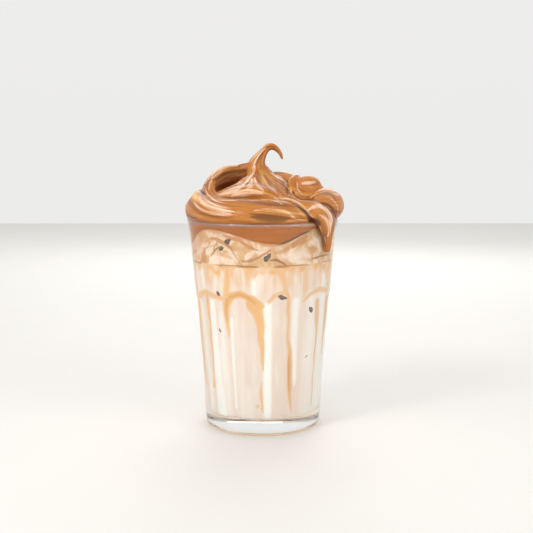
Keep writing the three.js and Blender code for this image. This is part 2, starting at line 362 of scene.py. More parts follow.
class NodeWork:
    """Adds nodes to a tree and links them."""

    def __init__(self, tree: bpy.types.NodeTree) -> None:
        """Keeps the tree that the nodes go into."""
        self.tree = tree

    def node(self, kind: str, settings: dict[str, Any] | None = None, **inputs: Any) -> bpy.types.Node:
        """Adds a node.

        Args:
            kind: the node's type.
            settings: its own properties.
            inputs: values or outputs for its input sockets, by name with _ for a blank.

        Returns:
            The node.
        """
        made = self.tree.nodes.new(kind)
        for key, value in (settings or {}).items():
            setattr(made, key, value)
        for key, value in inputs.items():
            self.feed(made.inputs[key.replace("_", " ")], value)
        return made

    def feed(self, socket: Socket, value: Any) -> None:
        """Links an output to a socket, or sets the socket's value."""
        if isinstance(value, Socket):
            self.tree.links.new(value, socket)
        else:
            socket.default_value = value

    def math(self, operation: str, first: Any, second: Any = 0.0, third: Any = 0.0) -> Socket:
        """The result of a sum on up to three values."""
        made = self.node("ShaderNodeMath", {"operation": operation})
        for socket, value in zip(made.inputs, (first, second, third)):
            self.feed(socket, value)
        return made.outputs[0]

    def runout(self, part: Socket) -> Socket:
        """One less the square of a part, and never below 0."""
        over = self.math("MAXIMUM", part, 0.0)
        return self.math("MAXIMUM", self.math("SUBTRACT", 1.0, self.math("MULTIPLY", over, over)), 0.0)


class Shade(NodeWork):
    """A material in the making."""

    def __init__(self, name: str) -> None:
        """Starts a material with its Principled shader and its output.

        Args:
            name: the material's name.
        """
        self.material = bpy.data.materials.new(name)
        self.material.use_nodes = True
        super().__init__(self.material.node_tree)
        self.tree.nodes.clear()
        self.output = self.node("ShaderNodeOutputMaterial")
        self.shader = self.node("ShaderNodeBsdfPrincipled")
        self.feed(self.output.inputs[0], self.shader.outputs[0])

    def place(self) -> Socket:
        """Each point's place in the piece."""
        return self.node("ShaderNodeTexCoord").outputs["Object"]

    def mark(self, name: str, output: str = "Fac") -> Socket:
        """What one of the piece's attributes says, as a value unless another output is named."""
        return self.node("ShaderNodeAttribute", {"attribute_name": name}).outputs[output]

    def drawn(self, place: Socket, scale: Triple) -> Socket:
        """A place with a scale on each of its axes."""
        return self.node("ShaderNodeMapping", Vector=place, Scale=scale).outputs[0]

    def noise(self, place: Socket, scale: float, detail: float, **more: Any) -> Socket:
        """A noise of 0 to 1 over a place."""
        return self.node("ShaderNodeTexNoise", Vector=place, Scale=scale, Detail=detail, **more).outputs[0]

    def ranged(self, value: Any, low: float, high: float, start: float = 0.0, end: float = 1.0) -> Socket:
        """A value taken smoothly from one range to another."""
        ends = {"From_Min": low, "From_Max": high, "To_Min": start, "To_Max": end}
        made = self.node("ShaderNodeMapRange", {"interpolation_type": "SMOOTHSTEP"}, Value=value, **ends)
        return made.outputs[0]

    def coated(self, colour: Any, *coats: tuple[Any, Colour]) -> Socket:
        """A colour under others.

        Args:
            colour: the lowest colour.
            coats: the share and the colour of each that is laid over it, in order.

        Returns:
            The colour that shows.
        """
        for share, over in coats:
            made = self.node("ShaderNodeMix", {"data_type": "RGBA"}, Factor=share)
            self.feed(made.inputs[6], colour)
            self.feed(made.inputs[7], tone(*over))
            colour = made.outputs[2]
        return colour

    def grouped(self, group: bpy.types.NodeTree, **inputs: Any) -> bpy.types.Node:
        """Places a shared effect and sets its inputs."""
        return self.node("ShaderNodeGroup", {"node_tree": group}, **inputs)

    def finish(self, **inputs: Any) -> bpy.types.Material:
        """Feeds the Principled shader's sockets and returns the material."""
        for key, value in inputs.items():
            self.feed(self.shader.inputs[key.replace("_", " ")], value)
        return self.material


def micro_foam_group() -> bpy.types.NodeTree:
    """The shared effect of fine bubbles in a drink's surface.

    Returns:
        A group with the inputs Scale and Strength, and the output Normal.
    """
    work = NodeWork(bpy.data.node_groups.new("fine_bubbles", "ShaderNodeTree"))
    face = work.tree.interface
    face.new_socket("Scale", in_out="INPUT", socket_type="NodeSocketFloat").default_value = 1500
    face.new_socket("Strength", in_out="INPUT", socket_type="NodeSocketFloat").default_value = 0.2
    face.new_socket("Normal", in_out="OUTPUT", socket_type="NodeSocketVector")
    given = work.node("NodeGroupInput").outputs
    place = work.node("ShaderNodeTexCoord").outputs["Object"]
    cells = work.node("ShaderNodeTexVoronoi", Vector=place, Scale=given["Scale"])
    ranges = {"From_Min": 0.05, "From_Max": 0.45}
    pores = work.node("ShaderNodeMapRange", Value=cells.outputs["Distance"], **ranges).outputs[0]
    bump = work.node("ShaderNodeBump", Height=pores, Strength=given["Strength"], Distance=0.0002)
    work.node("NodeGroupOutput", Normal=bump.outputs[0])
    return work.tree


@dataclass(frozen=True)
class ClearGlass:
    """The tumbler's finish: clear glass with a trace of handling on its surface, and a tan painted reflection
    of the drink round the outer edge of its foot.
    """

    ior: float = 1.5
    roughness: float = 0.015
    body: Colour = (250, 252, 252)
    # The tan of the painted reflection of the drink at the foot's outer edge.
    foot: Colour = (226, 186, 140)

    def material(self) -> bpy.types.Material:
        """Builds the glass. It lets light through to what it holds, without the noise of caustics."""
        shade = Shade("clear_glass")
        place = shade.place()
        wear = shade.noise(place, 90.0, 3.0)
        wave = shade.noise(place, 45.0, 1.0)
        bump = shade.node("ShaderNodeBump", Strength=0.06, Distance=0.0004, Height=wave)
        shade.finish(
            # The foot's outer edge is tinted tan: a painted reflection of the drink.
            Base_Color=shade.coated(tone(*self.body), (shade.mark("warm"), self.foot)),
            Roughness=shade.ranged(wear, 0.45, 0.75, self.roughness, self.roughness + 0.05),
            IOR=self.ior,
            Transmission_Weight=1.0,
            Coat_Weight=shade.mark("lip"),
            Coat_IOR=2.4,
            Coat_Roughness=0.5,
            Normal=bump.outputs[0],
        )
        passing = shade.node("ShaderNodeBsdfTransparent", Color=(0.97, 0.98, 0.98, 1.0))
        ray = shade.node("ShaderNodeLightPath")
        mix = shade.node("ShaderNodeMixShader", Fac=ray.outputs["Is Shadow Ray"])
        shade.feed(mix.inputs[1], shade.shader.outputs[0])
        shade.feed(mix.inputs[2], passing.outputs[0])
        shade.feed(shade.output.inputs[0], mix.outputs[0])
        return shade.material


@dataclass(frozen=True)
class MilkFinish:
    """The milk: pale cream with coffee that has run down behind the glass, and white painted highlights of
    the glass's ridges.
    """

    panel: Colour = (239, 221, 208)
    # The white of the painted highlights of the glass's ridges, which the milk's random pale streaks use too.
    ridge: Colour = (252, 250, 244)
    upper: Colour = (238, 214, 192)
    coffee: Colour = (237, 189, 128)
    brown: Colour = (188, 124, 66)

    def material(self, bubbles: bpy.types.NodeTree) -> bpy.types.Material:
        """Builds the milk from the marks that its mesh carries."""
        shade = Shade("milk_and_coffee_runs")
        veil = shade.noise(shade.drawn(shade.place(), (260.0, 260.0, 16.0)), 1.0, 3.0)
        high = shade.mark("high")
        streaks = shade.ranged(veil, 0.42, 0.68, 0.0, 0.35)
        seeped = shade.math("MULTIPLY", high, shade.ranged(veil, 0.5, 0.34, 0.0, 0.5))
        body = shade.coated(
            tone(*self.panel),
            (high, self.upper),
            # painted highlights of the glass's ridges
            (shade.mark("ridge"), self.ridge),
            (streaks, self.ridge),
            (shade.math("MULTIPLY", high, streaks), self.ridge),
            (seeped, self.coffee),
            (shade.mark("coffee"), self.coffee),
            (shade.mark("brown"), self.brown),
        )
        fine = shade.grouped(bubbles, Scale=1400.0, Strength=0.08)
        return shade.finish(
            Base_Color=body,
            Roughness=0.38,
            Subsurface_Weight=0.15,
            Subsurface_Radius=(1.0, 0.7, 0.45),
            Subsurface_Scale=0.003,
            Normal=fine.outputs["Normal"],
        )


@dataclass(frozen=True)
class StainedFinish:
    """The layer on the milk: tan foam that is marbled with coffee, with painted shade just under the whipped
    coffee.
    """

    foam: Colour = (220, 180, 128)
    pale: Colour = (247, 226, 204)
    coffee: Colour = (207, 143, 82)
    brown: Colour = (158, 92, 40)
    white: Colour = (250, 234, 220)
    # The colour of the painted shade along the whipped coffee's underside.
    shadow_umber: Colour = (96, 64, 40)

    def material(self, bubbles: bpy.types.NodeTree) -> bpy.types.Material:
        """Builds the marbling from the marks that its mesh carries and a drawn-out noise."""
        shade = Shade("stained_foam")
        place = shade.place()
        warp = shade.node("ShaderNodeTexNoise", Vector=place, Scale=60.0, Detail=2.0)
        moved = shade.node("ShaderNodeMix", {"data_type": "VECTOR"}, Factor=0.012)
        shade.feed(moved.inputs[4], place)
        shade.feed(moved.inputs[5], warp.outputs["Color"])
        swirl = shade.noise(moved.outputs[1], 120.0, 5.0, Distortion=0.8)
        body = shade.coated(
            tone(*self.foam),
            (shade.ranged(swirl, 0.42, 0.6), self.pale),
            (shade.mark("ridge"), self.white),
            (shade.mark("coffee"), self.coffee),
            (shade.mark("brown"), self.brown),
            # painted shade just under the whipped coffee
            (shade.mark("edge"), self.shadow_umber),
        )
        fine = shade.grouped(bubbles, Scale=1100.0, Strength=0.15)
        return shade.finish(
            Base_Color=body,
            Roughness=0.42,
            Subsurface_Weight=0.12,
            Subsurface_Radius=(1.0, 0.6, 0.35),
            Subsurface_Scale=0.002,
            Normal=fine.outputs["Normal"],
        )


@dataclass(frozen=True)
class WhippedFinish:
    """The whipped coffee: glossy caramel foam, with light and dark strands drawn along its folds, painted
    shade in its creases, hollows and underside, and the painted highlights and shade of the spoon's drags.
    """

    caramel: Colour = (190, 119, 50)
    # Lighter strands and streaks: random tone along the flow, and painted highlight on the strands' ridges.
    light: Colour = (236, 186, 116)
    # Darker strands: random tone along the flow and painted shade in the strands' grooves; also the painted
    # shade on the foam's underside.
    deep: Colour = (146, 80, 28)
    plug: Colour = (186, 104, 8)
    # The painted shade in creases and hollows.
    crease_shade: Colour = (94, 56, 30)
    # The painted highlights of the drags' pale ridges.
    highlight_cream: Colour = (244, 210, 180)
    # The painted shade of the drags' dark grooves.
    shadow_umber: Colour = (98, 60, 36)

    def material(self, bubbles: bpy.types.NodeTree) -> bpy.types.Material:
        """Builds the foam from its flow, its creases and its hollows."""
        shade = Shade("whipped_coffee_foam")
        flow = shade.mark("flow", "Vector")
        broad = shade.noise(shade.drawn(flow, (22.0, 300.0, 300.0)), 1.0, 3.0, Roughness=0.55)
        narrow = shade.noise(shade.drawn(flow, (60.0, 1100.0, 1100.0)), 1.0, 2.0)
        loose = shade.math("SUBTRACT", broad, 0.5)
        held = shade.math("MULTIPLY", loose, shade.ranged(shade.mark("calm"), 0.0, 1.0, 0.35, 1.0))
        # Strands' relief with random tone: high on ridges for painted highlight, low in grooves for painted
        # shade.
        mixed = shade.math("MULTIPLY_ADD", shade.mark("strand"), 0.14, shade.math("ADD", held, 0.5))
        streaky = shade.math("MULTIPLY_ADD", narrow, 1.8, -0.9)
        drag = shade.mark("pale")
        pale = shade.ranged(shade.math("ADD", drag, streaky), 0.1, 1.15)
        body = shade.coated(
            tone(*self.caramel),
            (shade.ranged(mixed, 0.52, 0.72), self.light),
            (shade.ranged(mixed, 0.5, 0.3), self.deep),
            (shade.ranged(narrow, 0.52, 0.72, 0.0, 0.28), self.light),
            (shade.mark("inside"), self.plug),
            # painted shade on the faces that look down
            (shade.math("MULTIPLY", shade.mark("low"), 0.6), self.deep),
            # painted shade in creases and hollows
            (shade.mark("crease_shade"), self.crease_shade),
            # painted highlights of the pale drags
            (shade.math("MULTIPLY", pale, shade.ranged(drag, 0.02, 0.4, 0.0, 0.95)), self.highlight_cream),
            # painted shade of the dark drags
            (shade.mark("dark"), self.shadow_umber),
        )
        fine = shade.grouped(bubbles, Scale=1700.0, Strength=0.12)
        groove = shade.node("ShaderNodeBump", Strength=0.28, Distance=0.0004, Height=narrow)
        shade.feed(groove.inputs["Normal"], fine.outputs["Normal"])
        return shade.finish(
            Base_Color=body,
            Roughness=shade.ranged(broad, 0.3, 0.7, 0.42, 0.3),
            Subsurface_Weight=0.08,
            Subsurface_Radius=(1.0, 0.6, 0.3),
            Subsurface_Scale=0.0015,
            Specular_IOR_Level=0.3,
            Coat_Weight=0.07,
            Coat_Roughness=0.16,
            Normal=groove.outputs[0],
        )


@dataclass(frozen=True)
class GroundsFinish:
    """The dark flecks: damp grounds of coffee."""

    dark: Colour = (92, 70, 54)
    dusty: Colour = (134, 112, 92)

    def material(self) -> bpy.types.Material:
        """Builds the mottled brown of the grounds."""
        shade = Shade("coffee_grounds")
        grain = shade.noise(shade.place(), 1500.0, 3.0)
        body = shade.coated(tone(*self.dark), (shade.ranged(grain, 0.35, 0.65), self.dusty))
        bump = shade.node("ShaderNodeBump", Strength=0.5, Distance=0.0002, Height=grain)
        return shade.finish(Base_Color=body, Roughness=0.6, Normal=bump.outputs[0])


# The tumbler


def flute_tree() -> bpy.types.NodeTree:
    """The tree that presses the flat, arched panels into a turned glass.

    Returns:
        A tree with the sizes of the panels as named inputs, in metres and degrees.
    """
    tree = bpy.data.node_groups.new("glass_flutes", "GeometryNodeTree")
    face = tree.interface
    face.new_socket("Geometry", in_out="INPUT", socket_type="NodeSocketGeometry")
    for name in ("Flutes", "Ridge At", "Depth", "Crown", "Rise", "Foot", "Runout"):
        face.new_socket(name, in_out="INPUT", socket_type="NodeSocketFloat")
    face.new_socket("Finish", in_out="INPUT", socket_type="NodeSocketMaterial")
    face.new_socket("Geometry", in_out="OUTPUT", socket_type="NodeSocketGeometry")
    make = NodeWork(tree)
    given = make.node("NodeGroupInput").outputs
    place = make.node("GeometryNodeInputPosition").outputs[0]
    x, y, z = make.node("ShaderNodeSeparateXYZ", Vector=place).outputs
    radius = make.math("SQRT", make.math("ADD", make.math("MULTIPLY", x, x), make.math("MULTIPLY", y, y)))
    azimuth = make.math("ARCTAN2", x, make.math("MULTIPLY", y, -1.0))
    ridge = make.math("RADIANS", given["Ridge At"])
    pitch = make.math("DIVIDE", 2 * math.pi, given["Flutes"])
    within = make.math("FLOORED_MODULO", make.math("SUBTRACT", azimuth, ridge), pitch)
    off = make.math("SUBTRACT", within, make.math("MULTIPLY", pitch, 0.5))
    spring = make.math("SUBTRACT", given["Crown"], given["Rise"])
    arch = make.runout(make.math("DIVIDE", make.math("SUBTRACT", z, spring), given["Rise"]))
    low = make.math("ADD", given["Foot"], given["Runout"])
    foot = make.runout(make.math("DIVIDE", make.math("SUBTRACT", low, z), given["Runout"]))
    depth = make.math("MULTIPLY", given["Depth"], make.math("MULTIPLY", arch, foot))
    flat = make.math("DIVIDE", make.math("SUBTRACT", radius, depth), make.math("COSINE", off))
    cut = make.math("MAXIMUM", make.math("SUBTRACT", radius, flat), 0.0)
    outside = make.node("GeometryNodeInputNamedAttribute", {"data_type": "FLOAT"}, Name="outside")
    pressed = make.math("MULTIPLY", cut, outside.outputs[0])
    kept = make.math("SUBTRACT", 1.0, make.math("DIVIDE", pressed, make.math("MAXIMUM", radius, 1e-5)))
    across = make.math("MULTIPLY", x, kept)
    deep = make.math("MULTIPLY", y, kept)
    there = make.node("ShaderNodeCombineXYZ", X=across, Y=deep, Z=z).outputs[0]
    moved = make.node("GeometryNodeSetPosition", Geometry=given["Geometry"], Position=there)
    whole = make.node("GeometryNodeRealizeInstances", Geometry=moved.outputs[0])
    dressed = make.node("GeometryNodeSetMaterial", Geometry=whole.outputs[0], Material=given["Finish"])
    make.node("NodeGroupOutput", Geometry=dressed.outputs[0])
    return tree


def apply_tree(piece: bpy.types.Object, tree: bpy.types.NodeTree, inputs: dict[str, Any]) -> bpy.types.Object:
    """Runs a Geometry Nodes tree on a piece and keeps the result as its plain mesh.

    Args:
        piece: the piece that the tree works on.
        tree: the tree.
        inputs: a value for each of the tree's named inputs.

    Returns:
        The piece, with no modifier left on it.
    """
    modifier = piece.modifiers.new(tree.name, "NODES")
    modifier.node_group = tree
    for item in tree.interface.items_tree:
        if item.item_type == "SOCKET" and item.in_out == "INPUT" and item.name in inputs:
            modifier[item.identifier] = inputs[item.name]
    return settled(piece)


@dataclass
class Tumbler:
    """The clear tumbler, with its flutes, thick foot and rounded lip."""

    form: GlassForm
    finish: ClearGlass
    segments: int = 360
    recess: float = 0.5
    recess_radius: float = 29.0
    floor_turn: float = 12.0
    # Where the painted reflection of the drink at the foot fades out, upwards and inwards.
    reflection_up: tuple[float, float] = (0.8, 4.0)
    reflection_in: tuple[float, float] = (2.2, 1.2)

    def profile(self) -> np.ndarray:
        """Radius and height round the section, from the middle of the foot to the inside floor."""
        form = self.form
        foot = quarter(form.foot_radius - form.foot_round, form.foot_round, form.foot_round, -90, 0, 8)
        low = form.flute_foot
        spring = form.arch_crown - form.arch_rise
        heights = np.concatenate([
            np.linspace(form.foot_round + 0.4, low - 3, 8),
            np.linspace(low, low + form.flute_runout, 14),
            np.linspace(low + form.flute_runout + 3, spring - 3, 12),
            np.linspace(spring, form.arch_crown, 20),
            np.linspace(form.arch_crown + 1.5, form.height - 2.5, 18),
        ])
        outside = [(float(form.outer(h)), float(h)) for h in heights]
        lip = quarter(form.rim_radius - form.lip, form.height - form.lip, form.lip, 0, 180, 12)
        corner = form.floor + form.floor_round
        inside = quarter(float(form.inner(corner)) - form.floor_round, corner, form.floor_round, 0, -90, 8)
        down = [(float(form.inner(h)), float(h)) for h in np.linspace(form.height - 4, corner + 4, 10)]
        edge = self.recess_radius
        dish = [(0.0, self.recess), (edge * 0.6, self.recess), (edge - 1.2, self.recess)]
        lead = [(edge, 0.12), (edge + 0.8, 0.0)]
        middle = [(self.floor_turn, form.floor), (0.0, form.floor)]
        return np.array([*dish, *lead, *foot, *outside, *lip, *down, *inside, *middle])

    def build(self) -> bpy.types.Object:
        """Turns the glass, presses its panels and dresses it.

        Returns:
            The glass.
        """
        form = self.form
        skin = turned(self.profile(), self.segments, form.ridge_at)
        radius = np.hypot(skin.points[:, 0], skin.points[:, 1])
        height = skin.points[:, 2]
        wall = radius > form.outer(height) - 0.3
        panel = (height > form.flute_foot) & (height < form.arch_crown)
        skin.marks["outside"] = (wall & panel).astype(float)
        skin.marks["lip"] = (height > form.height - form.lip * 1.1).astype(float)
        # Paints the tan reflection of the drink into the glass round the outer edge of the foot.
        start, end = (form.foot_radius - part for part in self.reflection_in)
        skin.marks["warm"] = (1 - eased(*self.reflection_up, height)) * eased(start, end, radius)
        piece = placed("tumbler_glass", skin.mesh("tumbler_glass"))
        material = self.finish.material()
        piece.data.materials.append(material)
        inputs = {
            "Flutes": float(form.flutes),
            "Ridge At": form.ridge_at,
            "Depth": form.flute_depth * MM,
            "Crown": form.arch_crown * MM,
            "Rise": form.arch_rise * MM,
            "Foot": form.flute_foot * MM,
            "Runout": form.flute_runout * MM,
            "Finish": material,
        }
        apply_tree(piece, flute_tree(), inputs)
        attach(piece, BODY)
        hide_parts("tumbler")
        return piece


# Marks that coffee leaves on what stands behind the glass, and painted highlights of the glass's ridges on
# the milk


class Mark(Enum):
    """Which of a drink's marks a stroke adds to."""

    COFFEE = "coffee"
    BROWN = "brown"
    # The white mark: painted highlights of the glass's ridges on the milk, pale patches on the stained layer.
    RIDGE = "ridge"


@dataclass(frozen=True)
class Stroke:
    """A run or wisp of coffee behind the glass, or a white band, along points of azimuth, height and half
    width. On the milk the white bands are painted highlights of the glass's ridges.
    """

    mark: Mark
    path: tuple[Triple, ...]
    strength: float
    soft: float = 0.5

    def cover(self, across: np.ndarray, height: np.ndarray, scale: np.ndarray) -> np.ndarray:
        """How far the stroke covers each point.

        Args:
            across: each point's azimuth in degrees.
            height: each point's height.
            scale: millimetres along the wall for a degree, at each point.

        Returns:
            Its cover, from 0 to its strength.
        """
        best = np.zeros(across.shape)
        for (a0, z0, w0), (a1, z1, w1) in zip(self.path, self.path[1:]):
            px = turned_by(across, a0) * scale
            pz = height - z0
            dx = float(turned_by(np.array([a1]), a0)[0]) * scale
            dz = z1 - z0
            part = np.clip((px * dx + pz * dz) / np.maximum(dx * dx + dz * dz, 1e-6), 0, 1)
            away = np.hypot(px - part * dx, pz - part * dz)
            half = w0 + (w1 - w0) * part
            edge = np.maximum(half * self.soft, 0.12)
            best = np.maximum(best, 1 - eased(0, 1, (away - half + edge) / (2 * edge)))
        return best * self.strength


def coffee(strength: float, soft: float, *path: Triple) -> Stroke:
    """A run or wisp of coffee."""
    return Stroke(Mark.COFFEE, path, strength, soft)


def brown(strength: float, soft: float, *path: Triple) -> Stroke:
    """A line of darker coffee."""
    return Stroke(Mark.BROWN, path, strength, soft)


def white(strength: float, soft: float, *path: Triple) -> Stroke:
    """A white band, which stays straight along the glass: a painted highlight of a ridge on the milk, a pale
    patch on the stained layer.
    """
    return Stroke(Mark.RIDGE, path, strength, soft)


def marked(
    strokes: tuple[Stroke, ...], points: np.ndarray, form: GlassForm, wander: float
) -> dict[str, np.ndarray]:
    """The marks that strokes leave on a wall.

    Args:
        strokes: the strokes.
        points: the wall's points.
        form: the glass.
        wander: how far the strokes' edges wander, in millimetres.

    Returns:
        For each mark, its value at each point.
    """
    scale = np.radians(form.inner(points[:, 2]))
    across = azimuth_of(points) + wander * ripple(points, 9, 41) / scale
    height = points[:, 2] + wander * ripple(points, 11, 42)
    marks = {mark.value: np.zeros(len(points)) for mark in Mark}
    still = azimuth_of(points)
    for stroke in strokes:
        # White marks stay straight along the glass; on the milk they are painted highlights of its ridges.
        straight = stroke.mark is Mark.RIDGE
        cover = stroke.cover(still if straight else across, points[:, 2] if straight else height, scale)
        marks[stroke.mark.value] = np.maximum(marks[stroke.mark.value], cover)
    return marks


FRONT_RUNS = (
    coffee(0.9, 0.5, (-29, 114, 1.3), (-29.5, 98, 1.6), (-31.5, 82, 1.8), (-33, 72, 1.9), (-32.5, 58, 0.5)),
    brown(0.3, 0.9, (-31.5, 79, 0.6), (-33, 74, 0.8), (-33, 66, 0.4)),
    coffee(0.9, 0.5, (-56.5, 79, 1.6), (-56, 66, 1.0), (-55.3, 50, 0.9), (-56, 32, 0.5), (-57, 26, 1.3)),
    coffee(0.8, 0.5, (13.5, 97, 2.4), (17, 91, 1.9), (20, 84, 1.3), (22.4, 79, 1.0), (23.9, 53, 0.8)),
    coffee(0.85, 0.5, (23.9, 56, 0.7), (26, 49, 1.4), (27.6, 29, 1.5), (29.9, 13.7, 0.4)),
    brown(0.4, 0.9, (25.3, 47, 0.5), (26.2, 36, 0.8), (27.2, 26, 0.4)),
    coffee(0.85, 0.5, (56, 76, 2.0), (57, 68, 2.2), (58.5, 60, 1.2), (59, 40, 0.5), (59.5, 14, 0.4)),
    coffee(0.9, 0.5, (-1, 31, 0.3), (-1.4, 22, 0.8), (0, 14, 0.4)),
    coffee(0.8, 0.5, (-8.2, 17, 0.2), (-5, 18, 0.35), (-1.6, 16, 0.5)),
    coffee(0.5, 0.5, (-18, 88, 0.4), (-18.4, 96, 0.6)),
)

ARCH_LINES = (
    coffee(1.0, 0.25, (-33, 76, 1.8), (-27, 81.5, 1.9), (-19, 82.6, 1.9), (-9, 80, 1.9), (-2, 75.4, 2.2)),
    coffee(0.95, 0.3, (-10, 77, 3.0), (-4, 72, 3.0), (-1.6, 64, 2.1), (-0.6, 52, 1.4), (0.6, 39, 0.3)),
    brown(0.32, 0.9, (-29, 80.6, 0.7), (-20, 82.6, 0.8), (-12, 80.8, 0.8), (-6, 77, 0.5)),
    coffee(0.75, 0.4, (4.6, 78, 1.0), (9.7, 81.6, 1.3), (18, 83.6, 1.3), (21, 83, 0.8)),
    coffee(0.75, 0.4, (36.7, 77.5, 0.7), (43.9, 81.4, 1.2), (56, 83.6, 1.4), (70, 81.8, 1.2)),
    coffee(0.8, 0.4, (-70, 78.6, 1.6), (-58, 81.6, 1.8), (-46, 80.6, 1.6), (-36, 78.8, 1.3)),
)

# Painted highlights: white bands where the glass's ridges catch the light, painted on the milk behind them.
RIDGE_HIGHLIGHTS = (
    white(1.0, 0.5, (-49, 76, 2.2), (-49, 40, 3.2), (-45, 12, 3.6)),
    white(0.45, 0.8, (-39, 70, 1.6), (-39, 40, 2.4), (-37, 14, 2.0)),
    white(0.6, 0.8, (-66, 74, 1.6), (-66, 44, 2.2), (-62, 14, 2.4)),
    white(0.6, 1.0, (46, 80, 3), (50, 44, 5), (52, 14, 5)),
    white(0.75, 0.9, (60, 90, 3), (62, 44, 4), (62, 14, 3.4)),
    white(0.5, 0.9, (-60, 92, 2), (-58, 84, 1.4)),
    white(0.9, 0.5, (-28.6, 68, 1.0), (-28.6, 40, 1.0), (-28, 16, 0.6)),
    white(1.0, 0.5, (4, 76, 2.2), (4.2, 50, 2.2), (4.6, 12, 2.0)),
    white(0.9, 0.6, (29.6, 78, 2.0), (30, 56, 2.0), (33, 30, 1.0)),
    white(0.9, 0.6, (66, 78, 2.4), (68, 46, 2.6), (70, 14, 2.2)),
    white(0.9, 0.8, (-8, 91, 1.6), (-7, 83, 1.3)),
    white(0.4, 1.0, (-14, 26, 3.4), (-15, 12, 3.0)),
)


@dataclass
class Milk:
    """The milk, from the inside floor to the stained layer."""

    form: GlassForm
    finish: MilkFinish
    segments: int = 540
    rounding: float = 0.9
    back_seed: int = 7
    wander: float = 0.22
    wall_radius: float = 38.0
    band: float = 1.6

    def back_runs(self) -> tuple[Stroke, ...]:
        """Runs, arch lines and painted ridge highlights like the front's, on the panels that the front
        doesn't show.
        """
        rng = np.random.default_rng(self.back_seed)
        pitch = 360 / self.form.flutes
        found: list[Stroke] = []
        for panel in range(2, self.form.flutes - 2):
            middle = self.form.ridge_at + (panel + 0.5) * pitch
            crown = self.form.arch_crown - 1.4 + rng.uniform(-0.6, 0.4)
            left = rng.uniform(0.7, 1.9)
            right = rng.uniform(0.7, 1.9)
            path = ((middle - 15, crown - 6, left), (middle - 8, crown - 1.2, left), (middle, crown, 1.5))
            found.append(Stroke(Mark.COFFEE, path, rng.uniform(0.6, 0.9), 0.4))
            path = ((middle, crown, 1.5), (middle + 8, crown - 1.2, right), (middle + 15, crown - 6, right))
            found.append(Stroke(Mark.COFFEE, path, rng.uniform(0.6, 0.9), 0.4))
            at = middle + rng.choice([-16.0, 16.0, 14.0]) + rng.uniform(-2, 2)
            low = rng.uniform(14, 50)
            top = 96 if rng.uniform() < 0.5 else 78
            path = ((at, top, 1.5), (at + 1, 70, 1.7), (at + 0.6, (70 + low) / 2, 0.9), (at + 1.2, low, 0.3))
            found.append(Stroke(Mark.COFFEE, path, 0.85, 0.4))
            # A painted highlight of the ridge beside the panel.
            at = middle - 18 + rng.uniform(2, 5)
            found.append(Stroke(Mark.RIDGE, ((at, 77, 2.0), (at, 45, 2.1), (at, 13, 1.8)), 0.95, 0.5))
        return tuple(found)

    def skin(self) -> Skin:
        """The milk's outside, just into the wall of the glass."""
        form = self.form
        corner = form.floor - form.pressed + self.rounding
        edge = float(form.inner(corner)) + form.pressed - self.rounding
        foot = quarter(edge, corner, self.rounding, -90, 0, 5)
        low = np.linspace(corner + 2, 64, 32)
        high = np.linspace(65, form.milk_level, 50)
        wall = [(float(form.inner(h)) + form.pressed, float(h)) for h in np.concatenate([low, high])]
        rim = wall[-1][0]
        top = [(rim * part, form.milk_level) for part in (0.97, 0.8, 0.5, 0.2)]
        rings = [(0.0, foot[0][1]), (edge * 0.5, foot[0][1]), *foot, *wall, *top, (0.0, form.milk_level)]
        return turned(np.array(rings), self.segments)

    def build(self, bubbles: bpy.types.NodeTree) -> bpy.types.Object:
        """Makes and dresses the milk.

        Args:
            bubbles: the shared effect of fine bubbles.

        Returns:
            The milk.
        """
        skin = self.skin()
        form = self.form
        points = skin.points
        height = points[:, 2]
        azimuth = azimuth_of(points)
        strokes = FRONT_RUNS + ARCH_LINES + RIDGE_HIGHLIGHTS + self.back_runs()
        skin.marks = marked(strokes, points, form, self.wander)
        arc = np.stack([np.radians(azimuth) * self.wall_radius, np.zeros(len(points)), height * 0.1], axis=1)
        drip = 3.0 + 2.2 * ripple(arc, 9, 51) + 1.2 * ripple(arc, 3.5, 52)
        band = 1 - eased(-self.band, self.band, form.milk_level - self.band - height - drip)
        stained = np.maximum(skin.marks["coffee"], band * (0.68 + 0.28 * ripple(points, 6, 53)))
        skin.marks["coffee"] = np.clip(stained, 0, 1)
        skin.marks["high"] = eased(0, 6, height - form.arch_height(azimuth))
        hem = 1 - eased(0.4, 0.95, np.abs(height - form.milk_level) - 0.4 * ripple(arc, 14, 54))
        broken = eased(-0.5, 0.1, ripple(arc, 26, 55))
        skin.marks["brown"] = np.maximum(skin.marks["brown"], hem * broken)
        piece = placed("milk_drink", skin.mesh("milk_drink"))
        piece.data.materials.append(self.finish.material(bubbles))
        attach(piece, BODY)
        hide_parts("milk")
        return piece


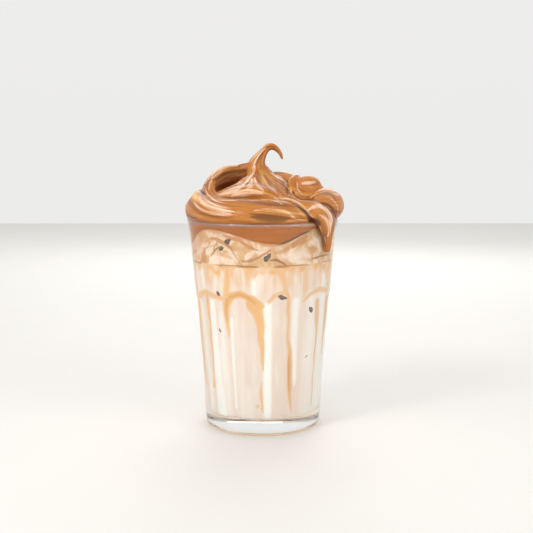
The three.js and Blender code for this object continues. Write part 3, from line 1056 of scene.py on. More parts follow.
WISPS = (
    coffee(0.9, 0.5, (-44, 113.4, 0.8), (-38, 112.6, 1.0), (-32, 111.4, 1.1), (-28, 110.6, 0.8)),
    coffee(0.7, 0.5, (-44, 113.2, 0.4), (-52, 110.8, 0.2)),
    coffee(0.8, 0.5, (-43, 112, 0.3), (-53, 105.4, 0.2)),
    brown(0.55, 0.5, (-29, 110, 0.7), (-25, 108, 0.6), (-22.5, 104.6, 0.35), (-18, 99.6, 0.15)),
    coffee(
        0.9, 0.5,
        (-31, 115.4, 0.7), (-26, 113.8, 1.1), (-18.5, 113.2, 1.1), (-10, 109, 1.0), (-4, 107.2, 0.3),
    ),
    brown(0.6, 0.7, (-16, 100.8, 0.5), (-11, 101, 0.7), (-4.5, 103, 0.6), (-1, 104.2, 0.3)),
    coffee(0.9, 0.5, (-1, 104.4, 0.7), (3, 105.8, 0.7), (6.5, 107.4, 0.4)),
    coffee(0.6, 0.5, (10, 105.4, 0.5), (18, 107.4, 1.1), (23, 109.2, 1.2), (29, 112.4, 1.2)),
    coffee(0.95, 0.4, (24, 109.6, 1.6), (30, 112, 2.0), (35, 114.4, 0.9)),
    coffee(0.9, 0.5, (31, 111, 1.4), (36, 112, 0.5)),
    coffee(0.8, 0.5, (34, 110.2, 0.3), (40, 107.6, 0.25), (48, 107, 0.2)),
    brown(0.85, 0.5, (5.5, 101.4, 0.3), (11, 101.6, 0.75), (14, 100.6, 0.6), (18, 99.2, 0.5)),
    brown(0.8, 0.5, (44, 101.6, 0.5), (56, 102.6, 0.5), (64, 102.4, 0.4)),
    brown(0.35, 0.5, (-56, 106, 0.2), (-46, 108.4, 0.45), (-38, 109.6, 0.3)),
    brown(0.75, 0.5, (-46, 102.6, 0.25), (-40, 107, 0.5), (-36, 108.4, 0.7)),
    white(0.75, 1.0, (14, 103, 1), (24, 104.4, 2.6), (34, 105, 2.4), (40, 103, 1)),
    white(0.7, 1.0, (-44, 101.4, 1.2), (-34, 101.8, 1.8), (-24, 101, 1.2)),
    white(0.5, 1.0, (-66, 103, 1.4), (-58, 106, 1.6), (-54, 109, 1)),
    white(0.6, 1.0, (38, 109, 1), (44, 112, 1.8), (52, 112, 1.2)),
)


@dataclass
class StainedLayer:
    """The marbled layer between the milk and the whipped coffee."""

    form: GlassForm
    underside: Underside
    finish: StainedFinish
    segments: int = 540
    wall_rings: int = 56
    back_seed: int = 11
    back_count: int = 18
    back_start: float = 76
    back_pitch: float = 12
    wander: float = 0.25
    wall_radius: float = 41.0

    def skin(self) -> Skin:
        """The layer's outside. Its rings spread between the milk and the wavy underside above it."""
        form = self.form
        base = form.milk_level
        shares = [*np.linspace(0, 1, self.wall_rings), *[1.0] * 7]
        inward = [*[1.0] * self.wall_rings, 0.985, 0.95, 0.85, 0.68, 0.48, 0.3, 0.14]
        profile = np.array([(0, base), (10, base), (25, base), *[(1, 1)] * len(shares), (0, base + 1)], float)
        skin = turned(profile, self.segments)
        azimuth = np.arange(self.segments) * 360 / self.segments
        top = self.underside.at_wall(azimuth)
        for i, (share, part) in enumerate(zip(shares, inward)):
            height = base + (top - base) * share
            out = (form.inner(height) + form.pressed) * part
            if part < 1:
                height = self.underside.height(azimuth, out, form) + 0.1
            ring = slice((i + 2) * self.segments, (i + 3) * self.segments)
            skin.points[ring] = round_axis(azimuth, out, height)
        skin.points[-1, 2] = self.underside.centre + 0.1
        return skin.outward()

    def back_wisps(self) -> tuple[Stroke, ...]:
        """Wisps like the front's, where the front doesn't show."""
        rng = np.random.default_rng(self.back_seed)
        found: list[Stroke] = []
        for i in range(self.back_count):
            at = self.back_start + i * self.back_pitch + rng.uniform(-3, 3)
            low = rng.uniform(101, 108)
            rise = rng.uniform(-5, 5)
            sag = rng.uniform(-1.5, 1.5)
            wide = rng.uniform(0.25, 1.0)
            span = rng.uniform(9, 17)
            path = (
                (at, low, 0.15),
                (at + span * 0.35, low + rise * 0.3 + sag, wide),
                (at + span * 0.7, low + rise * 0.8 + sag, wide * 0.8),
                (at + span, low + rise, 0.15),
            )
            mark = Mark.BROWN if rng.uniform() < 0.4 else Mark.COFFEE
            found.append(Stroke(mark, path, rng.uniform(0.45, 0.8)))
        return tuple(found)

    def build(self, bubbles: bpy.types.NodeTree) -> bpy.types.Object:
        """Makes and dresses the layer.

        Args:
            bubbles: the shared effect of fine bubbles.

        Returns:
            The layer.
        """
        skin = self.skin()
        form = self.form
        points = skin.points
        azimuth = azimuth_of(points)
        height = points[:, 2]
        skin.marks = marked(WISPS + self.back_wisps(), points, form, self.wander)
        below = self.underside.at_wall(azimuth) - height
        arc = np.stack([np.radians(azimuth) * self.wall_radius, height * 0.4, np.zeros(len(points))], axis=1)
        seep = 1 - eased(0.0, 1.0, (below - 0.5) / (1.6 + 1.2 * ripple(arc, 12, 61)))
        side = 0.6 * (1 - eased(4, 15, below)) * np.exp(-((turned_by(azimuth, -68) / 18) ** 2))
        veil = 0.35 * eased(0.1, 0.9, ripple(points * [1, 1, 2.2], 13, 62))
        stained = np.maximum.reduce([skin.marks["coffee"], seep * 0.8, side, veil])
        skin.marks["coffee"] = np.clip(stained, 0, 1)
        hem = (1 - eased(0.0, 0.5, height - form.milk_level)) * eased(-0.4, 0.2, ripple(arc, 26, 55))
        skin.marks["brown"] = np.maximum(skin.marks["brown"], hem * 0.8)
        # Painted shade: a dark line just under the whipped coffee, at the front right.
        right = eased(8, 16, azimuth) * (1 - eased(34, 42, azimuth))
        skin.marks["edge"] = (1 - eased(0.8, 1.2, below)) * right
        piece = placed("coffee_stained_layer", skin.mesh("coffee_stained_layer"))
        piece.data.materials.append(self.finish.material(bubbles))
        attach(piece, BODY)
        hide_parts("stained_layer")
        return piece


# The whipped coffee


@dataclass(frozen=True)
class Station:
    """A station on a fold: where its middle is, its half width and half thickness, and how far it leans."""

    azimuth: float
    out: float
    up: float
    width: float
    thickness: float
    lean: float = 0.0

    def middle(self, rim: float) -> Triple:
        """Its middle, over a rim at that height."""
        a = math.radians(self.azimuth)
        return (self.out * math.sin(a), -self.out * math.cos(a), rim + self.up)


def stations(*rows: tuple[float, ...]) -> tuple[Station, ...]:
    """The stations of a fold, from rows in the order of a station's fields."""
    return tuple(Station(*row) for row in rows)


def uprights(*rows: tuple[float, float, float, float, float]) -> tuple[Station, ...]:
    """The stations of a fold that stands up.

    Args:
        rows: how far to the right and to the back each is, its height above the rim, and its half size from
            front to back and from left to right.

    Returns:
        The stations.
    """
    return tuple(Station(math.degrees(math.atan2(x, -y)), math.hypot(x, y), *rest) for x, y, *rest in rows)


@dataclass(frozen=True)
class Strands:
    """The long ridges that a spoon draws along a fold."""

    pitch: float = 5.0
    height: float = 0.5
    reach: float = 26.0
    seed: int = 1
    twist: float = 0.0

    def relief(self, flow: np.ndarray) -> np.ndarray:
        """The shape of the strands.

        Args:
            flow: each point's distance along the fold and its two places round it.

        Returns:
            Their relief at each point, from about -1 in a groove to 1 on a ridge.
        """
        drawn = flow * [self.pitch / self.reach, 1, 1]
        ridge = np.minimum(np.abs(ripple(drawn, self.pitch * 2, self.seed)), 1.3) ** 0.7
        fade = eased(-1.1, 0.4, ripple(drawn * [0.8, 0.5, 0.5], self.pitch * 2, self.seed + 100))
        fine = ripple(drawn * [1.2, 2.4, 2.4], self.pitch * 2, self.seed + 200)
        return fade * (ridge - 0.75) * 1.4 + 0.2 * fine


def curve_through(knots: np.ndarray, t: np.ndarray) -> np.ndarray:
    """Points on a smooth curve through knots, as the CAD's curve runs.

    Args:
        knots: the knots, one row each.
        t: where on the curve, from 0 to 1.

    Returns:
        The curve's points, one row each.
    """
    count = len(knots)
    before = 2 * knots[0] - knots[1]
    beyond = 2 * knots[-1] - knots[-2]
    line = np.vstack([before, knots, beyond])
    place = np.clip(t, 0, 1) * (count - 1)
    segment = np.minimum(place.astype(int), count - 2)
    part = (place - segment)[:, None]
    gap = np.linalg.norm(np.diff(line, axis=0), axis=1) ** 0.5
    g1 = np.where(gap[segment + 1] < 1e-4, 1.0, gap[segment + 1])
    g0 = np.where(gap[segment] < 1e-4, g1, gap[segment])
    g2 = np.where(gap[segment + 2] < 1e-4, g1, gap[segment + 2])
    p0, p1, p2, p3 = (line[segment + i] for i in range(4))
    g0, g1, g2 = g0[:, None], g1[:, None], g2[:, None]
    leave = ((p1 - p0) / g0 - (p2 - p0) / (g0 + g1) + (p2 - p1) / g1) * g1
    arrive = ((p2 - p1) / g1 - (p3 - p1) / (g1 + g2) + (p3 - p2) / g2) * g1
    square = part * part
    cube = square * part
    return (
        p1
        + leave * part
        + (-3 * p1 + 3 * p2 - 2 * leave - arrive) * square
        + (2 * p1 - 2 * p2 + leave + arrive) * cube
    )


@dataclass(frozen=True)
class Fold:
    """A fold of whipped coffee: a round section drawn along its stations."""

    stations: tuple[Station, ...]
    strands: Strands
    across: Triple | None = None
    end_calm: float = 13.0
    trace: int = 400

    def skin(self, rim: float, step: float) -> Skin:
        """The fold's skin, with its strands.

        Args:
            rim: height of the glass's rim.
            step: how far apart its points are.

        Returns:
            The skin, with its flow as a mark.
        """
        knots = np.array([s.middle(rim) for s in self.stations])
        sizes = np.array([(s.width, s.thickness, s.lean) for s in self.stations])
        rough = curve_through(knots, np.linspace(0, 1, self.trace))
        length = float(np.linalg.norm(np.diff(rough, axis=0), axis=1).sum())
        rings = max(16, int(length * math.pi / 2 / step))
        around = max(12, int(2 * math.pi * float(sizes[:, :2].max()) / step))
        t = (1 - np.cos(np.linspace(0, math.pi, rings + 2))) / 2
        middle = curve_through(knots, t)
        ahead = curve_through(knots, t + 1e-4) - curve_through(knots, t - 1e-4)
        ahead /= np.linalg.norm(ahead, axis=1)[:, None]
        if self.across:
            lead = np.array(self.across)
            side = lead - (ahead @ lead)[:, None] * ahead
        else:
            side = np.cross(ahead, [0, 0, 1])
        side /= np.linalg.norm(side, axis=1)[:, None]
        normal = np.cross(side, ahead)
        normal /= np.linalg.norm(normal, axis=1)[:, None]
        width, thick, lean = curve_through(sizes, t).T
        to_end = np.minimum(1, np.minimum(t, 1 - t) * length / np.maximum(width, thick))
        full = np.sqrt(1 - (1 - to_end) ** 2)
        turn = np.arange(around) * 2 * math.pi / around
        u = (width * full)[:, None] * np.cos(turn)
        v = (thick * full)[:, None] * np.sin(turn)
        along = np.concatenate([[0], np.cumsum(np.linalg.norm(np.diff(middle, axis=0), axis=1))])
        mean = float(sizes[:, :2].mean())
        wound = turn[None, :] + np.radians(self.strands.twist) * along[:, None]
        round_it = (mean * np.cos(wound), mean * np.sin(wound))
        flow = np.stack(np.broadcast_arrays(along[:, None], *round_it), axis=2)
        calm = eased(0, self.end_calm, np.minimum(along, along[-1] - along))[:, None] * np.ones_like(u)
        relief = self.strands.relief(flow.reshape(-1, 3)).reshape(u.shape) * calm
        slim = np.minimum(1, np.minimum(width, thick) * full / (self.strands.height * 8))[:, None]
        raised = relief * self.strands.height * slim
        out_u = np.cos(turn) * thick[:, None]
        out_v = np.sin(turn) * width[:, None]
        size = np.hypot(out_u, out_v)
        u = u + raised * out_u / size
        v = v + raised * out_v / size
        c = np.cos(np.radians(lean))[:, None]
        s = np.sin(np.radians(lean))[:, None]
        points = (
            middle[:, None, :]
            + side[:, None, :] * (u * c - v * s)[:, :, None]
            + normal[:, None, :] * (u * s + v * c)[:, :, None]
        )
        tube = points[1:-1].reshape(-1, 3)
        skin = Skin(np.vstack([tube, middle[0], middle[-1]]), ring_faces(rings, around)).outward()
        shift = np.array([self.strands.seed * 137.0, 0, 0])
        skin.marks["flow"] = np.vstack([flow[1:-1].reshape(-1, 3), [0, 0, 0], [along[-1], 0, 0]]) + shift
        skin.marks["strand"] = np.concatenate([relief[1:-1].ravel(), [0, 0]])
        skin.marks["calm"] = np.concatenate([calm[1:-1].ravel(), [0, 0]])
        return skin


FRONT_ROLL = Fold(
    stations(
        (58, 31, 1.5, 8, 5), (40, 32, 2.6, 11, 7.4), (14, 32, 3.4, 12.2, 9.2), (-14, 32, 3.4, 12.6, 9.2),
        (-42, 32, 3.6, 12.8, 9.4), (-66, 32, 4.2, 12.9, 11), (-90, 32, 4.6, 12.9, 13),
        (-115, 31.6, 4.4, 12.7, 12.2), (-142, 31.5, 4, 12.5, 10.5), (-166, 31.8, 4.6, 12, 9),
        (-186, 32.2, 7.4, 10.4, 7), (-204, 31.6, 11, 7.6, 4.8), (-222, 29.6, 13.8, 4.4, 3),
        (-236, 26.6, 14.6, 1.6, 1.4),
    ),
    Strands(5.5, 0.75, 44, 3, 0.9),
)
RIGHT_LOBE = Fold(
    stations(
        (232, 29, 1.5, 8, 5), (206, 31, 2.6, 11, 8), (184, 32, 3.8, 12.2, 9), (164, 32.6, 5, 12.4, 9.2),
        (138, 34, 6.4, 13, 10), (112, 34.8, 7, 12.9, 10.2), (92, 34.9, 7.6, 12.8, 10.4),
        (77, 34.6, 7.6, 11.6, 9.8), (64, 33.6, 7.2, 9.6, 8.2), (50, 31, 6.4, 7.4, 6.4),
    ),
    Strands(5.0, 0.6, 36, 5, 0.7),
)
FRONT_SLOPE = Fold(
    stations(
        (-72, 27, 6, 6, 5.6), (-50, 23.5, 11, 8.5, 7.4), (-22, 18, 13, 10.5, 8.6),
        (10, 17.4, 11.4, 9.5, 7.6), (36, 19, 8, 7, 5),
    ),
    Strands(6.0, 0.45, 26, 7),
)
HOOD = Fold(
    stations(
        (-14, 30.5, 9.6, 3.6, 2.6), (-38, 31.6, 9.6, 3.8, 3.2), (-61, 33.2, 12, 3.4, 4.4, -14),
        (-86, 31.2, 18.4, 3.6, 7.4, -28), (-112, 27, 22.6, 3.4, 8.4, -34), (-140, 20.5, 24, 3.4, 8.4, -34),
        (-155, 13.6, 25.4, 3.6, 8, -30), (-157, 5.4, 28, 3.8, 6, -20),
    ),
    Strands(3.6, 0.4, 30, 11),
)
FRONT_LIP = Fold(
    stations(
        (-66, 33.4, 9.4, 3.2, 3), (-61, 28.4, 12.6, 4.4, 3.8), (-56, 21.6, 15.6, 5.4, 4.2),
        (-53, 14.8, 18, 5.4, 4.4), (-62, 7.6, 23.6, 4.4, 4),
    ),
    Strands(4.0, 0.4, 24, 13),
)
SKIRT = Fold(
    uprights(
        (-2, -3, 25, 6, 4), (-2.5, -9, 20.5, 8, 5), (-1.5, -15.5, 15.5, 12, 5.4), (0.5, -22, 11, 14.5, 4.6),
    ),
    Strands(4.0, 0.4, 26, 37),
)
BACK_SLOPE = Fold(
    stations(
        (-100, 17, 8, 6, 5), (-125, 19, 10, 9, 7), (-155, 20, 11.6, 10.5, 8), (-185, 20, 12.4, 10.5, 8.4),
        (-215, 20.5, 12.6, 9.5, 8), (-245, 22, 10, 7, 6),
    ),
    Strands(4.5, 0.5, 26, 41, 0.6),
)
BACK_FOLD = Fold(
    stations(
        (206, 9.8, 21.6, 5, 4.4), (146, 10.8, 22.2, 6.4, 5), (114, 15.4, 21.6, 6.6, 5.2),
        (94, 21.6, 18.4, 6.6, 5.4), (88, 29, 16.6, 6.4, 6), (84, 36, 12, 5, 4.6),
    ),
    Strands(4.0, 0.5, 24, 17),
)
KNOB_CURL = Fold(
    stations(
        (78, 21, 24, 3, 2.6), (60, 20.4, 21.4, 3.2, 3), (51, 22.4, 16.8, 3.2, 3.2),
        (55, 27.6, 13.4, 3.4, 3.2), (66, 32.4, 14, 3.4, 3.2), (80, 35.2, 14.8, 3, 3),
    ),
    Strands(3.0, 0.25, 18, 19),
)
KNOB = Fold(
    stations(
        (57, 21.2, 17.8, 6.6, 6.0), (70, 27, 18.8, 6.9, 6.3), (80.5, 33.6, 18.6, 6.4, 6.0),
    ),
    Strands(4.0, 0.3, 14, 23),
)
PEAK = Fold(
    uprights(
        (-3, -3, 5, 22, 22), (-3, -3, 12, 19.5, 18.5), (-0.8, -2, 17.6, 14, 14.8), (-1.2, -1, 22.6, 9, 9),
        (-2.6, 0, 27, 6.2, 7), (-3.2, 0, 31, 4.9, 5.4), (-1.5, 0, 35.2, 3.9, 3.4), (1.0, 0, 39.1, 3.2, 2.3),
        (3.5, 0, 41.5, 2.6, 2.1), (6.2, 0, 41.5, 2.2, 1.9), (8.8, 0, 39.6, 1.8, 1.5),
        (10.7, 0, 36.7, 1.3, 1.1), (11.1, 0, 33.8, 0.7, 0.7),
    ),
    Strands(4.2, 0.4, 30, 29),
    (0, 1, 0),
)
RUN = Fold(
    stations(
        (150, 5, 22.6, 5, 4.4), (84, 8.4, 19.6, 7, 5), (46, 15.4, 14.6, 8.4, 5.2), (40, 24, 11, 9.2, 4.6),
        (43, 31.4, 8.8, 10, 4.8), (50.5, 38, 6.2, 11, 5.4), (54, 43, 1.6, 11, 3.8),
        (55, 44.6, -3.5, 7.8, 2.6), (56, 44, -9, 4.2, 2.4), (57.5, 43.4, -14, 2.5, 2),
        (57.5, 43, -17.6, 1.5, 1.4),
    ),
    Strands(5.0, 0.45, 30, 31),
    (math.cos(math.radians(57.5)), math.sin(math.radians(57.5)), 0),
)
SOFT_FOLDS = (FRONT_SLOPE, FRONT_LIP, SKIRT, BACK_SLOPE, BACK_FOLD, PEAK)
CRISP_FOLDS = (FRONT_ROLL, RIGHT_LOBE, HOOD, KNOB, KNOB_CURL, RUN)


class Tint(Enum):
    """What a drag of the spoon leaves on the foam: a ridge with a painted highlight or a groove with painted
    shade.
    """

    PALE = "pale"
    DARK = "dark"


@dataclass(frozen=True)
class Drag:
    """A drag of the spoon over the foam, along points of azimuth, distance from the axis, "up" and half
    width, with how far it paints highlight or shade onto the foam and how far it raises or lowers it.
    """

    tint: Tint
    path: tuple[Quad, ...]
    strength: float
    depth: float

    def line(self, rim: float, surface: BVHTree) -> np.ndarray:
        """The drag's line laid onto a surface.

        Args:
            rim: height of the glass's rim.
            surface: the foam's tree.

        Returns:
            Rows of place and half width.
        """
        azimuth, out, up, half = np.array(self.path, float).T
        knots = np.column_stack([round_axis(azimuth, out, rim + up), half])
        row = curve_through(knots, np.linspace(0, 1, 6 * len(knots)))
        for _ in range(3):
            row[:, :3] = [surface.find_nearest(place)[0][:] for place in row[:, :3].tolist()]
            row[1:-1, :3] = (row[:-2, :3] + 2 * row[1:-1, :3] + row[2:, :3]) / 4
        return row

    def cover(self, row: np.ndarray, points: np.ndarray, spread: float) -> np.ndarray:
        """How far the drag covers each point.

        Args:
            row: its line on the surface.
            points: the points.
            spread: how many half widths it fades over.

        Returns:
            Its cover, from 0 to 1.
        """
        best = np.zeros(len(points))
        margin = row[:, 3].max() * spread * 1.2 + 0.5
        box = (points > row[:, :3].min(axis=0) - margin) & (points < row[:, :3].max(axis=0) + margin)
        near = np.flatnonzero(box.all(axis=1))
        some = points[near]
        for start, end in zip(row, row[1:]):
            way = end[:3] - start[:3]
            part = np.clip((some - start[:3]) @ way / max(float(way @ way), 1e-9), 0, 1)
            away = np.linalg.norm(some - start[:3] - part[:, None] * way, axis=1)
            half = start[3] + (end[3] - start[3]) * part
            best[near] = np.maximum(best[near], 1 - eased(0.4 * (spread - 1), spread, away / half))
        return best


def highlit_ridge(strength: float, depth: float, *path: Quad) -> Drag:
    """A drag that leaves a ridge with a painted highlight."""
    return Drag(Tint.PALE, path, strength, depth)


def shaded_groove(strength: float, depth: float, *path: Quad) -> Drag:
    """A drag that leaves a groove with painted shade."""
    return Drag(Tint.DARK, path, strength, depth)


# The drags' pale ridges are painted highlights and their dark grooves painted shade, each over a little
# relief.
HOOD_DRAGS = {
    "hood_streak": highlit_ridge(
        0.9, 0.25,
        (-76.3, 34.6, 18.5, 0.4), (-81, 30.2, 24.7, 0.9), (-99.3, 24.8, 28.7, 1),
        (-114.2, 21.3, 30.2, 0.9), (-124.7, 18.1, 30.2, 0.4),
    ),
    "hood_inner": highlit_ridge(
        0.8, 0.15,
        (-64, 34.2, 17, 0.4), (-72.2, 31.5, 21.5, 0.8), (-81.8, 28, 24.9, 0.9), (-95.2, 24.5, 26.8, 0.7),
        (-111.4, 20.8, 27.9, 0.3),
    ),
    "hood_tail": highlit_ridge(
        0.9, 0.3,
        (-76, 34.3, 18.9, 0.4), (-66.8, 35, 16.3, 0.6), (-55.3, 36.1, 13.5, 0.6), (-41.6, 38.7, 11.4, 0.6),
        (-30.9, 40.1, 10.3, 0.3),
    ),
    "notch": shaded_groove(1, 0.3, (-89.8, 37.3, 16.5, 0.5), (-77.8, 36.1, 16, 0.8), (-66.5, 36, 14.7, 0.3)),
    "hollow_top": shaded_groove(
        0.6, 0,
        (-71, 32.4, 19, 0.5), (-80.5, 29.2, 22.4, 1), (-95, 25, 24.6, 1.1), (-118, 19.5, 26.6, 1),
        (-140, 13.6, 28, 0.7),
    ),
    "hollow_inside": highlit_ridge(
        0.45, 0,
        (-72, 29.5, 16.5, 1.5), (-84, 26, 19, 3), (-102, 21.5, 21, 3.4), (-128, 16, 23, 2.6),
    ),
}
SLOPE_DRAGS = {
    "slope_light": highlit_ridge(
        0.75, 0,
        (-53.5, 30.2, 15, 1.6), (-41.3, 28.1, 17.2, 3), (-31.9, 25.6, 19.1, 3), (-23.9, 24.1, 19.8, 1.4),
    ),
    "slope_highlight": highlit_ridge(
        0.65, 0,
        (-34.7, 29.1, 14.9, 1.4), (-22, 27.5, 16.1, 2.4), (-9.1, 25.9, 16.9, 1.8), (-0.8, 25.7, 16, 0.8),
    ),
    "ridge": highlit_ridge(
        0.95, 0.35,
        (-44.6, 6.5, 30.3, 0.7), (-37.7, 10.5, 25, 1.1), (-31, 18.5, 21.2, 1), (-28.1, 26, 18.8, 0.7),
        (-33.1, 28.1, 16.8, 0.3),
    ),
    "patch": highlit_ridge(
        0.85, 0.15,
        (-23.2, 12.3, 24.3, 0.4), (-14.6, 16.5, 21.8, 1.4), (-5.3, 22.9, 19.2, 1.6),
        (1.3, 24.8, 16.9, 0.5),
    ),
    "patch_wide": highlit_ridge(
        0.75, 0,
        (-26, 14, 23.4, 0.6), (-21, 18.5, 21.4, 1.8), (-17, 23, 19.2, 2.2), (-20, 26.4, 17, 0.8),
    ),
    "lip_line": highlit_ridge(
        0.7, 0,
        (-62, 31, 15.2, 0.3), (-60, 28, 16.8, 0.5), (-56, 21.6, 20, 0.5), (-51, 17, 21.6, 0.5),
        (-48, 14.2, 23, 0.3),
    ),
    "beside_ridge": shaded_groove(
        0.5, 0.1,
        (-31.2, 28.1, 16.4, 0.1), (-23.7, 25.7, 18.8, 0.35), (-28.2, 15.5, 22.3, 0.2),
    ),
    "under_slope": shaded_groove(
        0.5, 0.25,
        (-53.4, 34, 14.6, 0.2), (-43.5, 31.4, 13.5, 0.4), (-31.3, 29.5, 13.3, 0.4),
        (-16.4, 27.7, 14.1, 0.4), (5.8, 25.9, 14.7, 0.2),
    ),
    "upper_line": highlit_ridge(
        0.95, 0.3,
        (-40.2, 37.9, 11.8, 0.3), (-29, 37.2, 12, 0.6), (-16, 35.8, 12.3, 0.6), (-4, 35, 12.5, 0.6),
        (6, 35.4, 12.2, 0.5),
    ),
    "upper_line_end": highlit_ridge(
        0.9, 0.3,
        (-0.6, 34.2, 12.4, 0.5), (8.2, 35.8, 12.1, 0.6), (15.8, 40, 10, 0.2),
    ),
}
ROLL_DRAGS = {
    "sweep_a": highlit_ridge(
        0.8, 0.3,
        (-65.6, 42.5, 10.5, 0.3), (-57.2, 43.6, 8.3, 0.7), (-48.1, 44.3, 6.3, 0.8),
        (-35.8, 44.5, 4.9, 0.8), (-22.2, 44.3, 4.6, 0.4),
    ),
    "sweep_b": highlit_ridge(
        0.8, 0.25,
        (-67.3, 39.5, 13.6, 0.4), (-55.1, 41.5, 11.1, 0.9), (-43.2, 42.8, 8.8, 1.1), (-32.3, 43.5, 7.1, 1),
        (-20.8, 43.7, 6.5, 0.4),
    ),
    "sweep_c": highlit_ridge(
        0.75, 0.25,
        (-58.9, 39.2, 12.8, 0.3), (-45.2, 41, 10.6, 0.8), (-33.7, 42.5, 8.8, 0.9), (-23.8, 43, 7.9, 0.3),
    ),
    "sweep_d": highlit_ridge(
        0.6, 0.2,
        (-40.9, 44.1, 6.4, 0.3), (-33.1, 44.2, 5.8, 0.8), (-23.1, 44.1, 5.3, 0.4),
    ),
    "sweep_e": highlit_ridge(
        0.7, 0.2,
        (-55.5, 42.1, 10.5, 0.3), (-47, 43.2, 8.4, 0.6), (-37.6, 43.7, 6.9, 0.6), (-28.5, 44, 5.9, 0.3),
    ),
    "shoulder": highlit_ridge(
        0.6, 0.2,
        (-84.1, 43, 10.6, 0.5), (-81.6, 41, 13.7, 1), (-81.2, 38.7, 15.4, 0.9), (-75.2, 37, 15.4, 0.3),
    ),
    "rim_left": shaded_groove(0.9, 0, (-75, 44.9, 3.2, 0.6), (-67.1, 44.6, 2.1, 0.7), (-54.7, 44.7, 1.9, 0.2)),
    "sweep_gap": shaded_groove(
        0.35, 0.2,
        (-65.5, 44, 7.7, 0.3), (-54.8, 44.6, 5.7, 0.8), (-41.8, 44.8, 3.8, 0.9), (-28.2, 44.5, 3, 0.6),
        (-16.3, 44.4, 3.8, 0.2),
    ),
    "roll_shade": shaded_groove(
        0.28, 0,
        (3.4, 40.1, 10.1, 0.8), (13.8, 41.2, 9.1, 1.6), (23.1, 42.7, 6.7, 1.8), (29.9, 43.2, 3.1, 0.8),
    ),
    "lens_light": highlit_ridge(
        0.65, 0.1,
        (-5.9, 43, 7.2, 0.5), (5.1, 42.1, 8.2, 1.1), (16.1, 42.9, 6.9, 1.2), (23.9, 43.3, 2.9, 0.4),
    ),
    "lens": shaded_groove(
        0.75, 0.35,
        (-8.4, 44.1, 3.9, 0.4), (-0.5, 43.9, 3.6, 2.2), (7.5, 43.7, 3.2, 2.6), (14.9, 43.5, 2.8, 1.8),
        (19.9, 43.4, 2.8, 0.3),
    ),
    "low_light": highlit_ridge(0.45, 0, (17.9, 43.2, 1, 0.4), (27.1, 42.8, 1.7, 1), (36.5, 42.3, 1.3, 0.5)),
}
PEAK_DRAGS = {
    "peak_left": highlit_ridge(
        0.8, 0.1,
        (-78, 7, 32, 0.3), (-64.2, 6.2, 35.3, 0.5), (-43.3, 3.6, 38.7, 0.6), (20.5, 2.2, 42, 0.4),
        (70, 4.5, 43.3, 0.2),
    ),
    "peak_crest": highlit_ridge(
        0.95, 0.2,
        (-50.5, 7.2, 28.8, 0.5), (-45.5, 5.4, 34.2, 0.6), (-19, 3.3, 38.1, 0.5), (40.9, 3.3, 40.8, 0.3),
    ),
    "peak_hook": shaded_groove(
        0.8, 0,
        (66.8, 1.9, 31.6, 0.3), (42.6, 2.3, 36.4, 0.5), (68.8, 3.6, 39.2, 0.5), (79.7, 6.7, 39.9, 0.4),
        (87.5, 9.2, 37.6, 0.2),
    ),
    "peak_shade": shaded_groove(
        0.35, 0,
        (-2.7, 3.1, 36.8, 0.4), (-15.8, 3.9, 32.8, 0.9), (2.7, 6.6, 27.7, 1.4), (16.8, 14.5, 21.1, 1.8),
        (21.3, 20.7, 16.8, 0.6),
    ),
    "neck_band": shaded_groove(
        0.3, 0,
        (-44.4, 6.8, 28.8, 0.3), (-15.9, 8.9, 26, 0.8), (2.7, 16.1, 21.2, 1), (9.2, 24.2, 16.4, 0.5),
    ),
    "peak_back": shaded_groove(
        0.9, 0.1,
        (45.5, 5.5, 28.2, 0.4), (122.4, 9.1, 26.3, 0.9), (106.2, 12.4, 26.1, 0.5),
    ),
    "neck_right": highlit_ridge(
        0.85, 0.2,
        (32.6, 7.6, 26.2, 0.4), (58.9, 8.7, 24.4, 1.2), (57.6, 14.9, 21.3, 0.4),
    ),
    "neck_dark": shaded_groove(0.4, 0.1, (49.5, 10.7, 23.1, 0.4), (51.4, 15.1, 21, 1), (44.8, 21.1, 19.3, 0.8)),
    "skirt_shade": shaded_groove(
        0.28, 0,
        (5, 8, 26.5, 1.2), (13.6, 12.1, 23.1, 2.4), (23.5, 16, 19.3, 2.8), (27.2, 22.3, 16.3, 1.2),
    ),
    "skirt_edge": shaded_groove(
        0.75, 0.3,
        (39.6, 11.2, 22.7, 0.2), (41.6, 16.6, 20, 0.5), (41.1, 21, 17.7, 0.5), (32, 26.3, 14.8, 0.3),
    ),
}
KNOB_DRAGS = {
    "knob_top": highlit_ridge(0.95, 0.1, (55.2, 27.9, 20.9, 0.9), (59.4, 30.5, 21.3, 1.2), (65, 33, 21.5, 0.8)),
    "knob_edge": highlit_ridge(
        0.5, 0,
        (60.5, 24.2, 23.8, 0.3), (66.4, 26.9, 24.9, 0.5), (68.6, 31.1, 24.2, 0.4),
    ),
    "knob_inner": highlit_ridge(
        0.7, 0.1,
        (54.5, 24.2, 21.2, 0.3), (49.9, 26.2, 17.6, 0.5), (50.3, 29.6, 14.6, 0.5), (57.9, 33, 15.1, 0.3),
    ),
    "curl_light": highlit_ridge(
        0.75, 0.2,
        (44.2, 22.4, 18.6, 0.3), (38.2, 27.6, 14.6, 0.7), (35, 35.7, 11.9, 0.7), (41.8, 39, 11.4, 0.3),
    ),
    "curl_dark": shaded_groove(
        0.95, 0.35,
        (44.1, 24.9, 16.4, 0.4), (37.5, 32.2, 13.2, 0.9), (42.9, 35.4, 12.3, 1), (55.3, 34.9, 13.6, 0.5),
    ),
}
